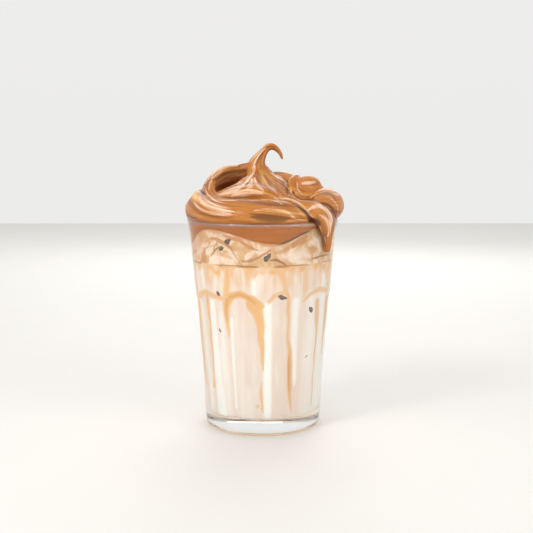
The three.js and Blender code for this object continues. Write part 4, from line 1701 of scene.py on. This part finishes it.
LOBE_DRAGS = {
    "lobe_edge": highlit_ridge(
        0.95, 0.25,
        (61, 34, 15.6, 0.3), (72.7, 36, 17.1, 0.8), (80.3, 40.6, 16.5, 0.9), (86.3, 44.4, 14.3, 0.4),
    ),
    "lobe_under": shaded_groove(
        0.6, 0.15,
        (57.2, 35.7, 14.1, 0.5), (65, 37.6, 15.3, 1.2), (70.4, 41.6, 14.2, 1.3), (71, 44.1, 11.4, 0.6),
    ),
    "lobe_band_a": highlit_ridge(
        0.5, 0.15,
        (61.3, 39.9, 13.2, 0.3), (67.1, 43.1, 11.5, 0.7), (69.8, 45, 8.3, 0.8), (73, 44.6, 3.8, 0.3),
    ),
    "lobe_band_b": highlit_ridge(
        0.45, 0.1,
        (76.4, 44.8, 12.3, 0.2), (77.7, 46.3, 8.3, 0.5), (77.6, 45.3, 3.6, 0.2),
    ),
    "lobe_crease": shaded_groove(
        1, 0.5,
        (55.7, 40.4, 10.5, 0.4), (61.6, 42.9, 8.8, 0.9), (68, 43.9, 4.4, 0.9), (74, 43.6, 0.8, 0.6),
    ),
}
RUN_DRAGS = {
    "under_line": highlit_ridge(
        0.9, 0.25,
        (14.5, 26.4, 13.1, 0.3), (26.9, 30, 12.8, 0.6), (32.9, 37.5, 10.4, 0.6), (35.8, 42, 6.5, 0.5),
        (38.8, 44, 2.5, 0.3),
    ),
    "under_run": shaded_groove(
        1, 0.5,
        (20.1, 27.4, 12.2, 0.4), (26.9, 35.8, 11.2, 1.1), (32.2, 40.9, 7.7, 1.3), (38, 42.6, 1.8, 1.2),
    ),
    "run_crest": highlit_ridge(
        0.95, 0.4,
        (36.5, 42.2, 7, 0.6), (44, 43.3, 8.8, 1.9), (52.5, 44.4, 6.7, 2.5), (54.7, 46.2, 3, 2.6),
        (53.4, 47.2, -1.8, 1),
    ),
    "run_mid": highlit_ridge(
        0.75, 0.2,
        (43.3, 46, 4.2, 0.6), (49.3, 47.1, 0.9, 1.5), (52, 47.3, -3.1, 1.5), (51.9, 46.1, -8, 0.6),
    ),
    "run_shade": shaded_groove(
        0.35, 0,
        (43.4, 46.7, 1.5, 0.5), (46.2, 46.7, -2.8, 1.3), (50.2, 45.4, -8.7, 1.2), (53.4, 43.3, -13.2, 0.4),
    ),
    "run_left": shaded_groove(
        0.95, 0.2,
        (43.5, 43.8, -0.5, 0.5), (45.8, 44.6, -3.5, 0.5), (50.6, 44, -9, 0.4), (54, 43.5, -14, 0.3),
    ),
    "rim_notch": shaded_groove(1, 0.4, (40.9, 41.8, 0.3, 1), (40.4, 46.2, 0.9, 1.8), (42.8, 46.4, -1.3, 1.1)),
    "drip_light": highlit_ridge(0.5, 0, (50.2, 45.4, -8.7, 0.5), (53.4, 43.5, -13.2, 0.6)),
}


def back_drags(seed: int, count: int) -> tuple[Drag, ...]:
    """Drags like the front's, with their painted highlights and shade, along the foam that the front doesn't
    show.

    Args:
        seed: which of the draws it is.
        count: how many there are.

    Returns:
        The drags, spread from the right round the back to the left.
    """
    first, sweep = 96, 170
    roll_out, roll_up = 32, 5
    roll_wide, roll_thick = 12.5, 10.5
    rng = np.random.default_rng(seed)
    found: list[Drag] = []
    for i in range(count):
        start = first + i * sweep / count + rng.uniform(-4, 4)
        span = rng.uniform(16, 36)
        rise = rng.uniform(6, 78)
        drift = rng.uniform(-5, 5)
        half = rng.uniform(0.5, 1.0)
        path: list[Quad] = []
        for part, wide in ((0, 0.3), (0.33, half), (0.67, half), (1, 0.3)):
            lean = math.radians(rise + drift * part)
            out = roll_out + roll_wide * math.cos(lean)
            up = roll_up + roll_thick * math.sin(lean)
            path.append((start + span * part, out, up, wide))
        tint = Tint.PALE if i % 3 else Tint.DARK
        found.append(Drag(tint, tuple(path), rng.uniform(0.5, 0.85), 0.25))
    return tuple(found)


FRONT_DRAGS = HOOD_DRAGS | SLOPE_DRAGS | ROLL_DRAGS | PEAK_DRAGS | KNOB_DRAGS | LOBE_DRAGS | RUN_DRAGS
BACK_DRAGS = back_drags(seed=71, count=22)
ALL_DRAGS = (*FRONT_DRAGS.values(), *BACK_DRAGS)


def joined(skins: list[Skin]) -> Skin:
    """Several skins as one, with the marks that they all have."""
    faces: list[tuple[int, ...]] = []
    start = 0
    for skin in skins:
        faces += [tuple(i + start for i in f) for f in skin.faces]
        start += len(skin.points)
    shared = set.intersection(*(set(skin.marks) for skin in skins))
    marks = {mark: np.concatenate([skin.marks[mark] for skin in skins]) for mark in sorted(shared)}
    return Skin(np.vstack([skin.points for skin in skins]), faces, marks)


def edges_of(mesh: bpy.types.Mesh) -> np.ndarray:
    """The two points of each of a mesh's edges."""
    flat = np.zeros(len(mesh.edges) * 2, np.int32)
    mesh.edges.foreach_get("vertices", flat)
    return flat.reshape(-1, 2)


def evened(values: np.ndarray, edges: np.ndarray, rounds: int, share: float = 0.5) -> np.ndarray:
    """Values that are evened out with their neighbours'.

    Args:
        values: a value or a row for each point.
        edges: the mesh's edges.
        rounds: how often it is done.
        share: how far each goes towards its neighbours' mean.

    Returns:
        The evened values.
    """
    count = len(values)
    wide = values.reshape(count, -1).astype(float)
    ends = np.concatenate([edges[:, 0], edges[:, 1]])
    others = np.concatenate([edges[:, 1], edges[:, 0]])
    number = np.maximum(np.bincount(ends, minlength=count), 1)[:, None]
    for _ in range(rounds):
        sums = np.stack([np.bincount(ends, wide[others, k], count) for k in range(wide.shape[1])], axis=1)
        wide = wide + share * (sums / number - wide)
    return wide.reshape(values.shape)


@dataclass
class WhippedCoffee:
    """The whipped coffee: the plug in the glass's mouth, the folds over the rim, the peak and the run."""

    form: GlassForm
    underside: Underside
    finish: WhippedFinish
    step: float = 0.55
    voxel: float = 0.56
    soft_coarse: float = 1.5
    soft_rounds: int = 26
    rays: int = 14
    ray_seed: int = 5
    reach: float = 22.0
    core_step: float = 1.2
    core_segments: int = 180
    relief_spread: float = 2.4
    tint_spread: float = 1.6
    cutter_segments: int = 240
    cutter_margin: float = 0.9
    sharp_angle: float = 55.0

    def core(self) -> Skin:
        """The low dome under the folds, and the plug, which is cut to the glass later."""
        form = self.form
        low = self.underside.level - 15
        wall = float(form.inner(low)) + 0.7
        rings = [
            (0.0, low),
            (wall, low),
            (float(form.inner(form.height)) + 0.6, form.height - form.lip),
            (39.5, form.height + 2),
            (36.0, form.height + 7),
            (30.0, form.height + 11),
            (22.0, form.height + 14),
            (10.0, form.height + 15.5),
            (0.0, form.height + 16),
        ]
        skin = turned(ring_profile(rings, self.core_step), self.core_segments)
        azimuth = np.radians(azimuth_of(skin.points))
        out = np.hypot(skin.points[:, 0], skin.points[:, 1])
        skin.marks["flow"] = np.stack([azimuth * 36, out, skin.points[:, 2]], axis=1)
        skin.marks["strand"] = np.zeros(len(skin.points))
        skin.marks["calm"] = np.ones(len(skin.points))
        return skin

    def soft_skin(self, soft: Skin) -> Skin:
        """The core and the soft folds as one smooth skin, with the creases between them filled.

        Args:
            soft: the core and the soft folds, which still run through each other.

        Returns:
            The smooth skin.
        """
        piece = self.one_skin(soft, self.soft_coarse)
        mesh = piece.data
        edges = edges_of(mesh)
        points = points_of(mesh)
        up = points[:, 2] - self.form.height
        share = ((1 - eased(21, 29, up)) * eased(1, 8, up))[:, None]
        for _ in range(self.soft_rounds):
            points = points + (evened(points, edges, 1, 0.6) - points) * share
        faces = [tuple(p.vertices) for p in mesh.polygons]
        bpy.data.objects.remove(piece)
        return Skin(points, faces)

    def wall_cutter(self) -> Skin:
        """The glass's wall less the little that the foam reaches into it, as a ring to cut with."""
        form = self.form
        low = form.milk_level - 4
        top = form.height - form.pressed
        lip_level = form.height - form.lip
        inner = [(float(form.inner(h)) + form.pressed, h) for h in np.linspace(low, lip_level, 16)]
        lip = quarter(form.rim_radius - form.lip, lip_level, form.lip - form.pressed, 180, 0, 10)
        outer = [(float(form.outer(h)) - form.pressed, h) for h in np.linspace(lip_level - 0.6, low, 16)]
        corner = (form.rim_radius - form.pressed, top - form.lip)
        section = np.array([*inner, *lip[1:-1], corner, *outer])
        segments = self.cutter_segments
        rings = round_axis(np.arange(segments) * 360 / segments, section[:, :1], section[:, 1:])
        count = len(section)
        faces: list[tuple[int, ...]] = []
        for i in range(count):
            here = i * segments
            there = (i + 1) % count * segments
            for k in range(segments):
                after = (k + 1) % segments
                faces.append((here + k, here + after, there + after, there + k))
        return Skin(rings.reshape(-1, 3), faces).outward()

    def under_cutter(self) -> Skin:
        """The space under the wavy underside, wider than the foam, to cut with."""
        form = self.form
        base = form.milk_level - 2
        beyond = self.cutter_margin
        shares = np.array([1.0, 0.98, 0.95, 0.91, 0.85, 0.76, 0.64, 0.5, 0.34, 0.18, 0.07])
        foot = (float(form.inner(base)) + beyond, base)
        profile = np.array([(0, base), foot, *[(s * 40, base + 5) for s in shares], (0, base + 10)], float)
        segments = self.cutter_segments
        skin = turned(profile, segments)
        azimuth = np.arange(segments) * 360 / segments
        for i, share in enumerate(shares):
            out = share * (form.inner(self.underside.at_wall(azimuth)) + beyond)
            ring = slice((i + 1) * segments, (i + 2) * segments)
            skin.points[ring] = round_axis(azimuth, out, self.underside.height(azimuth, out, form))
        skin.points[-1, 2] = self.underside.centre
        return skin.outward()

    def one_skin(self, whole: Skin, coarse: float = 1.0) -> bpy.types.Object:
        """The folds grown together into one closed mesh.

        Args:
            whole: the folds, which still run through each other.
            coarse: how much coarser than the finished foam the mesh may be.

        Returns:
            The grown-together piece, with only its outer skin.
        """
        piece = placed("whipped_foam", whole.mesh("whipped_foam"))
        remesh = piece.modifiers.new("grown_together", "REMESH")
        remesh.mode = "VOXEL"
        remesh.voxel_size = self.voxel * MM * coarse
        settled(piece)
        self.keep_largest(piece.data)
        return piece

    def keep_largest(self, mesh: bpy.types.Mesh) -> None:
        """Removes everything but the largest shell of a mesh."""
        edges = edges_of(mesh)
        label = np.arange(len(mesh.vertices))
        while True:
            low = np.minimum(label[edges[:, 0]], label[edges[:, 1]])
            fresh = label.copy()
            np.minimum.at(fresh, edges[:, 0], low)
            np.minimum.at(fresh, edges[:, 1], low)
            fresh = fresh[fresh]
            if np.array_equal(fresh, label):
                break
            label = fresh
        main = np.bincount(label).argmax()
        if (label == main).all():
            return
        work = bmesh.new()
        work.from_mesh(mesh)
        bmesh.ops.delete(work, geom=[v for v in work.verts if label[v.index] != main], context="VERTS")
        work.to_mesh(mesh)
        work.free()

    def shaped(self, mesh: bpy.types.Mesh) -> None:
        """Smooths the grown-together skin, which keeps its size."""
        edges = edges_of(mesh)
        points = points_of(mesh)
        for _ in range(2):
            points = evened(points, edges, 1, 0.5)
            points = evened(points, edges, 1, -0.5)
            points = evened(points, edges, 1, 0.35)
        mesh.vertices.foreach_set("co", (points * MM).astype(np.float32).ravel())
        mesh.update()
        normals = evened(normals_of(mesh), edges, 3)
        surface = BVHTree.FromPolygons(points.tolist(), [tuple(p.vertices) for p in mesh.polygons])
        relief = np.zeros(len(points))
        for drag in ALL_DRAGS:
            raised = drag.depth if drag.tint is Tint.PALE else -drag.depth
            line = drag.line(self.form.height, surface)
            relief += raised * drag.cover(line, points, self.relief_spread)
        points = points + normals * relief[:, None]
        mesh.vertices.foreach_set("co", (points * MM).astype(np.float32).ravel())
        mesh.update()

    def painted_light_marks(self, points: np.ndarray, surface: BVHTree) -> dict[str, np.ndarray]:
        """The painted highlights and painted shade that the spoon's drags leave on the foam's colour.

        Args:
            points: the foam's points.
            surface: the foam's tree.

        Returns:
            The pale mark of painted highlight and the dark mark of painted shade at each point.
        """
        found = {tint.value: np.zeros(len(points)) for tint in Tint}
        for drag in ALL_DRAGS:
            line = drag.line(self.form.height, surface)
            cover = drag.cover(line, points, self.tint_spread) * drag.strength
            found[drag.tint.value] = np.maximum(found[drag.tint.value], cover)
        return found

    def cut(self, piece: bpy.types.Object) -> None:
        """Cuts the foam to the glass and to the layer under it."""
        for name, cutter in (("wall", self.wall_cutter()), ("under", self.under_cutter())):
            tool = placed(name, cutter.mesh(name))
            boolean = piece.modifiers.new(name, "BOOLEAN")
            boolean.operation = "DIFFERENCE"
            boolean.solver = "MANIFOLD"
            boolean.object = tool
            settled(piece)
            bpy.data.objects.remove(tool)
        self.keep_largest(piece.data)

    def marks(self, mesh: bpy.types.Mesh, whole: Skin) -> None:
        """Writes the foam's flow as attributes, with its painted shade in creases, hollows and on its
        underside, and the drags' painted highlights and shade.

        Args:
            mesh: the finished mesh.
            whole: the folds that it was grown from.
        """
        points = points_of(mesh)
        normals = normals_of(mesh)
        edges = edges_of(mesh)
        source = BVHTree.FromPolygons(whole.points.tolist(), whole.faces)
        nearest = np.array([source.find_nearest(p)[2] for p in points.tolist()])
        corner = np.array([f[0] for f in whole.faces])[nearest]
        other = np.array([f[2] for f in whole.faces])[nearest]
        for mark, scale in (("flow", MM), ("strand", 1.0), ("calm", 1.0)):
            stamp(mesh, mark, (whole.marks[mark][corner] + whole.marks[mark][other]) / 2 * scale)
        near = evened(points, edges, 6)
        dent = ((near - points) * normals).sum(axis=1)
        wide = evened(points, edges, 40)
        valley = ((wide - points) * normals).sum(axis=1)
        own = BVHTree.FromPolygons(points.tolist(), [tuple(p.vertices) for p in mesh.polygons])
        hidden = evened(self.hidden(points, normals, own), edges, 4)
        # Painted shade: darker in dents and valleys of the surface and in hollows that the foam itself
        # covers.
        crease_shade = eased(0.05, 0.24, dent) * 0.75 + eased(0.2, 1.0, valley) * 0.45
        deep = eased(0.3, 0.85, hidden) * 0.12
        for mark, values in self.painted_light_marks(points, own).items():
            stamp(mesh, mark, values)
        # Painted shade on the faces that look down.
        stamp(mesh, "low", eased(0.15, -0.75, normals[:, 2]))
        height = points[:, 2]
        under_rim = height < self.form.height - 0.6
        within = under_rim & (np.hypot(points[:, 0], points[:, 1]) < self.form.inner(height) + 0.4)
        stamp(mesh, "crease_shade", np.where(within, 0, np.clip(np.maximum(crease_shade, deep), 0, 1)))
        stamp(mesh, "inside", within.astype(float) * 0.85)
        mesh.set_sharp_from_angle(angle=math.radians(self.sharp_angle))

    def hidden(self, points: np.ndarray, normals: np.ndarray, own: BVHTree) -> np.ndarray:
        """The share of the sky over each point that the foam itself covers.

        Args:
            points: the foam's points.
            normals: their normals.
            own: the foam's tree for casting rays.

        Returns:
            The covered share, from 0 to 1.
        """
        rng = np.random.default_rng(self.ray_seed)
        covered = np.zeros(len(points))
        start = points + normals * 0.25
        for _ in range(self.rays):
            way = rng.normal(size=points.shape)
            way /= np.linalg.norm(way, axis=1)[:, None]
            way = way + normals * 1.02
            way /= np.linalg.norm(way, axis=1)[:, None]
            cast = zip(start.tolist(), way.tolist())
            covered += [own.ray_cast(p, d, self.reach)[0] is not None for p, d in cast]
        return covered / self.rays

    def build(self, bubbles: bpy.types.NodeTree) -> bpy.types.Object:
        """Grows, cuts and dresses the whipped coffee.

        Args:
            bubbles: the shared effect of fine bubbles.

        Returns:
            The whipped coffee.
        """
        rim = self.form.height
        soft = joined([self.core()] + [fold.skin(rim, self.step) for fold in SOFT_FOLDS])
        crisp = joined([fold.skin(rim, self.step) for fold in CRISP_FOLDS])
        piece = self.one_skin(joined([self.soft_skin(soft), crisp]))
        whole = joined([soft, crisp])
        self.shaped(piece.data)
        self.cut(piece)
        piece.data.polygons.foreach_set("use_smooth", [True] * len(piece.data.polygons))
        self.marks(piece.data, whole)
        piece.data.materials.clear()
        piece.data.materials.append(self.finish.material(bubbles))
        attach(piece, BODY)
        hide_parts("whipped_coffee")
        return piece


# The flecks


@dataclass(frozen=True)
class Fleck:
    """A fleck behind the glass: its place, its half sizes along and across, and how it is turned."""

    azimuth: float
    height: float
    along: float
    across: float
    turn: float = 0.0
    seed: int = 0


FRONT_FLECKS = (
    Fleck(-27.8, 111.9, 1.9, 1.5, 10, 1),
    Fleck(-33.9, 107.8, 1.7, 1.3, 40, 2),
    Fleck(2.6, 102.6, 1.9, 1.2, 55, 3),
    Fleck(4.9, 104.4, 1.5, 1.2, 60, 4),
    Fleck(-40.4, 81.7, 1.5, 0.9, -55, 5),
    Fleck(16.6, 80.8, 2.4, 1.6, -14, 6),
    Fleck(46.3, 72.0, 2.1, 1.4, -40, 7),
    Fleck(-40.9, 60.5, 1.3, 0.7, -65, 8),
    Fleck(44.6, 45.0, 0.9, 0.4, 45, 9),
)


@dataclass
class Flecks:
    """The dark flecks that hang in the drink against the glass."""

    form: GlassForm
    finish: GroundsFinish
    rings: int = 9
    around: int = 14
    back_seed: int = 19
    back_count: int = 9
    back_start: float = 82
    back_pitch: float = 23
    lumps: float = 0.22
    lump_pitch: float = 1.6
    lump_seed: int = 300
    thickness: float = 0.5
    gap: float = 0.1

    def all(self) -> list[Fleck]:
        """The front's flecks, and a few more where the front doesn't show."""
        rng = np.random.default_rng(self.back_seed)
        found = list(FRONT_FLECKS)
        for i in range(self.back_count):
            at = self.back_start + i * self.back_pitch + rng.uniform(-7, 7)
            height = rng.uniform(101, 112) if i % 2 else rng.uniform(45, 84)
            long = rng.uniform(1.0, 2.0)
            found.append(Fleck(at, height, long, long * rng.uniform(0.5, 0.8), rng.uniform(-70, 70), 20 + i))
        return found

    def one(self, fleck: Fleck) -> Skin:
        """A lumpy, flattened grain that lies against the inside of the glass."""
        polar = np.linspace(0, math.pi, self.rings + 2)[1:-1]
        turn = np.arange(self.around) * 2 * math.pi / self.around
        ball = np.empty((self.rings, self.around, 3))
        ball[:, :, 0] = np.sin(polar)[:, None] * np.cos(turn)
        ball[:, :, 1] = np.sin(polar)[:, None] * np.sin(turn)
        ball[:, :, 2] = np.cos(polar)[:, None]
        unit = np.vstack([ball.reshape(-1, 3), [[0, 0, 1], [0, 0, -1]]])
        lump = 1 + self.lumps * ripple(unit, self.lump_pitch, self.lump_seed + fleck.seed)
        shape = unit * lump[:, None] * [fleck.along, fleck.across, self.thickness]
        a = math.radians(fleck.turn)
        sideways = shape[:, 0] * math.cos(a) - shape[:, 1] * math.sin(a)
        upward = shape[:, 0] * math.sin(a) + shape[:, 1] * math.cos(a)
        height = fleck.height + upward
        radius = self.form.inner(height) + self.gap + shape[:, 2]
        azimuth = math.radians(fleck.azimuth) + sideways / radius
        points = np.stack([radius * np.sin(azimuth), -radius * np.cos(azimuth), height], axis=1)
        return Skin(points, ring_faces(self.rings, self.around)).outward()

    def build(self) -> bpy.types.Object:
        """Makes and dresses the flecks.

        Returns:
            The flecks, as one piece.
        """
        whole = joined([self.one(fleck) for fleck in self.all()])
        piece = placed("coffee_flecks", whole.mesh("coffee_flecks"))
        piece.data.materials.append(self.finish.material())
        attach(piece, BODY)
        return piece


# The studio


@dataclass(frozen=True)
class Softbox:
    """A soft lamp: where it stands, its width and height, its power in watts, its colour and its aim."""

    name: str
    place: Triple
    size: tuple[float, float]
    power: float
    colour: Triple = (1.0, 1.0, 1.0)
    aim: Triple = (0.0, 0.0, 0.1)


@dataclass
class Studio:
    """A plain pale floor, soft lamps and the camera at the photograph's viewing angle."""

    floor_tone: Colour = (238, 236, 232)
    floor_mottle: int = 3
    floor_size: float = 3.0
    tent_tone: Quad = (1.0, 0.995, 0.985, 1.0)
    sky: float = 0.4
    horizon: float = 0.84
    band: tuple[tuple[float, float], ...] = ((0.3, 0.88), (0.37, 0.48), (0.45, 0.8), (0.6, 0.8), (0.72, 0.4))
    camera_place: Triple = (0.0, -0.5928, 0.1659)
    camera_down: float = 6.967
    camera_turn: float = -0.216
    lens: float = 68.47
    sensor: float = 36.0
    lamps: tuple[Softbox, ...] = (
        Softbox("key", (-0.5, -0.5, 0.6), (0.22, 0.22), 1.8, (1.0, 0.97, 0.93)),
        Softbox("left_strip", (-0.62, -0.34, 0.58), (0.62, 0.04), 0.9),
        Softbox("front_strip", (-0.1, -0.72, 0.64), (0.62, 0.04), 0.8),
        Softbox("right_strip", (0.5, -0.55, 0.6), (0.62, 0.04), 0.6, (1.0, 0.97, 0.93)),
        Softbox("fill", (0.6, -0.45, 0.3), (0.5, 0.5), 1.15, (1.0, 0.97, 0.93)),
        Softbox("top", (0.05, 0.25, 0.8), (0.4, 0.4), 0.6),
        Softbox("back", (0.1, 0.85, 0.5), (0.7, 0.4), 1.8, (1.0, 1.0, 1.0), (0.0, 0.15, 0.02)),
        Softbox("far", (0.0, 1.15, 0.9), (1.6, 0.5), 4.0, (1.0, 1.0, 1.0), (0.0, 1.15, 0.0)),
    )

    def floor(self) -> bpy.types.Object:
        """The floor, which isn't part of the object."""
        half = self.floor_size / 2
        mesh = bpy.data.meshes.new("floor")
        corners = [(-half, -half, 0), (half, -half, 0), (half, half, 0), (-half, half, 0)]
        mesh.from_pydata(corners, [], [(0, 1, 2, 3)])
        shade = Shade("pale_floor")
        grain = shade.noise(shade.place(), 18.0, 2.0)
        body = shade.coated(tone(*(v - self.floor_mottle for v in self.floor_tone)), (grain, self.floor_tone))
        mesh.materials.append(shade.finish(Base_Color=body, Roughness=0.7))
        piece = placed("floor", mesh)
        return piece

    def light(self, lamp: Softbox) -> None:
        """Hangs a soft lamp."""
        data = bpy.data.lights.new(lamp.name, "AREA")
        data.shape = "RECTANGLE"
        data.size = lamp.size[0]
        data.size_y = lamp.size[1]
        data.energy = lamp.power
        data.color = lamp.colour
        holder = bpy.data.objects.new(lamp.name, data)
        holder.location = lamp.place
        away = np.array(lamp.aim) - np.array(lamp.place)
        flat = math.hypot(away[0], away[1])
        holder.rotation_euler = (math.atan2(flat, -away[2]), 0, math.atan2(-away[0], away[1]))
        bpy.context.scene.collection.objects.link(holder)

    def tent(self) -> bpy.types.World:
        """The white tent round the object, with a brighter band of light above the level of the rim.

        Returns:
            The world that stands for the tent.
        """
        world = bpy.data.worlds.new("studio")
        world.use_nodes = True
        work = NodeWork(world.node_tree)
        background = world.node_tree.nodes["Background"]
        background.inputs["Color"].default_value = self.tent_tone
        way = work.node("ShaderNodeTexCoord").outputs["Generated"]
        elevation = work.node("ShaderNodeSeparateXYZ", Vector=way).outputs[2]
        ramp = work.node("ShaderNodeValToRGB", Fac=elevation)
        ramp.color_ramp.interpolation = "EASE"
        stops = ramp.color_ramp.elements
        stops[0].color = (self.horizon, self.horizon, self.horizon, 1)
        stops[1].color = (self.sky, self.sky, self.sky, 1)
        for position, level in self.band:
            stops.new(position).color = (level, level, level, 1)
        work.feed(background.inputs["Strength"], ramp.outputs[0])
        return world

    def build(self) -> None:
        """Sets up the floor, the lamps, the tent and the camera."""
        scene = bpy.context.scene
        self.floor()
        for lamp in self.lamps:
            self.light(lamp)
        scene.world = self.tent()
        scene.view_settings.view_transform = "Standard"
        data = bpy.data.cameras.new("camera")
        data.lens = self.lens
        data.sensor_width = self.sensor
        holder = bpy.data.objects.new("camera", data)
        holder.location = self.camera_place
        holder.rotation_euler = (math.radians(90 - self.camera_down), 0, math.radians(self.camera_turn))
        scene.collection.objects.link(holder)
        scene.camera = holder


def report(piece: bpy.types.Object) -> None:
    """Logs a finished piece and how fine it is."""
    triangles = sum(len(p.vertices) - 2 for p in piece.data.polygons)
    log.info("%s: %d triangles", piece.name, triangles)


def main() -> None:
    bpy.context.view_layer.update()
    form = GlassForm()
    underside = Underside()
    Studio().build()
    bubbles = micro_foam_group()
    report(Tumbler(form, ClearGlass()).build())
    report(Milk(form, MilkFinish()).build(bubbles))
    report(StainedLayer(form, underside, StainedFinish()).build(bubbles))
    report(Flecks(form, GroundsFinish()).build())
    report(WhippedCoffee(form, underside, WhippedFinish()).build(bubbles))
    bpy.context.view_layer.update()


if __name__ == "__main__":
    main()
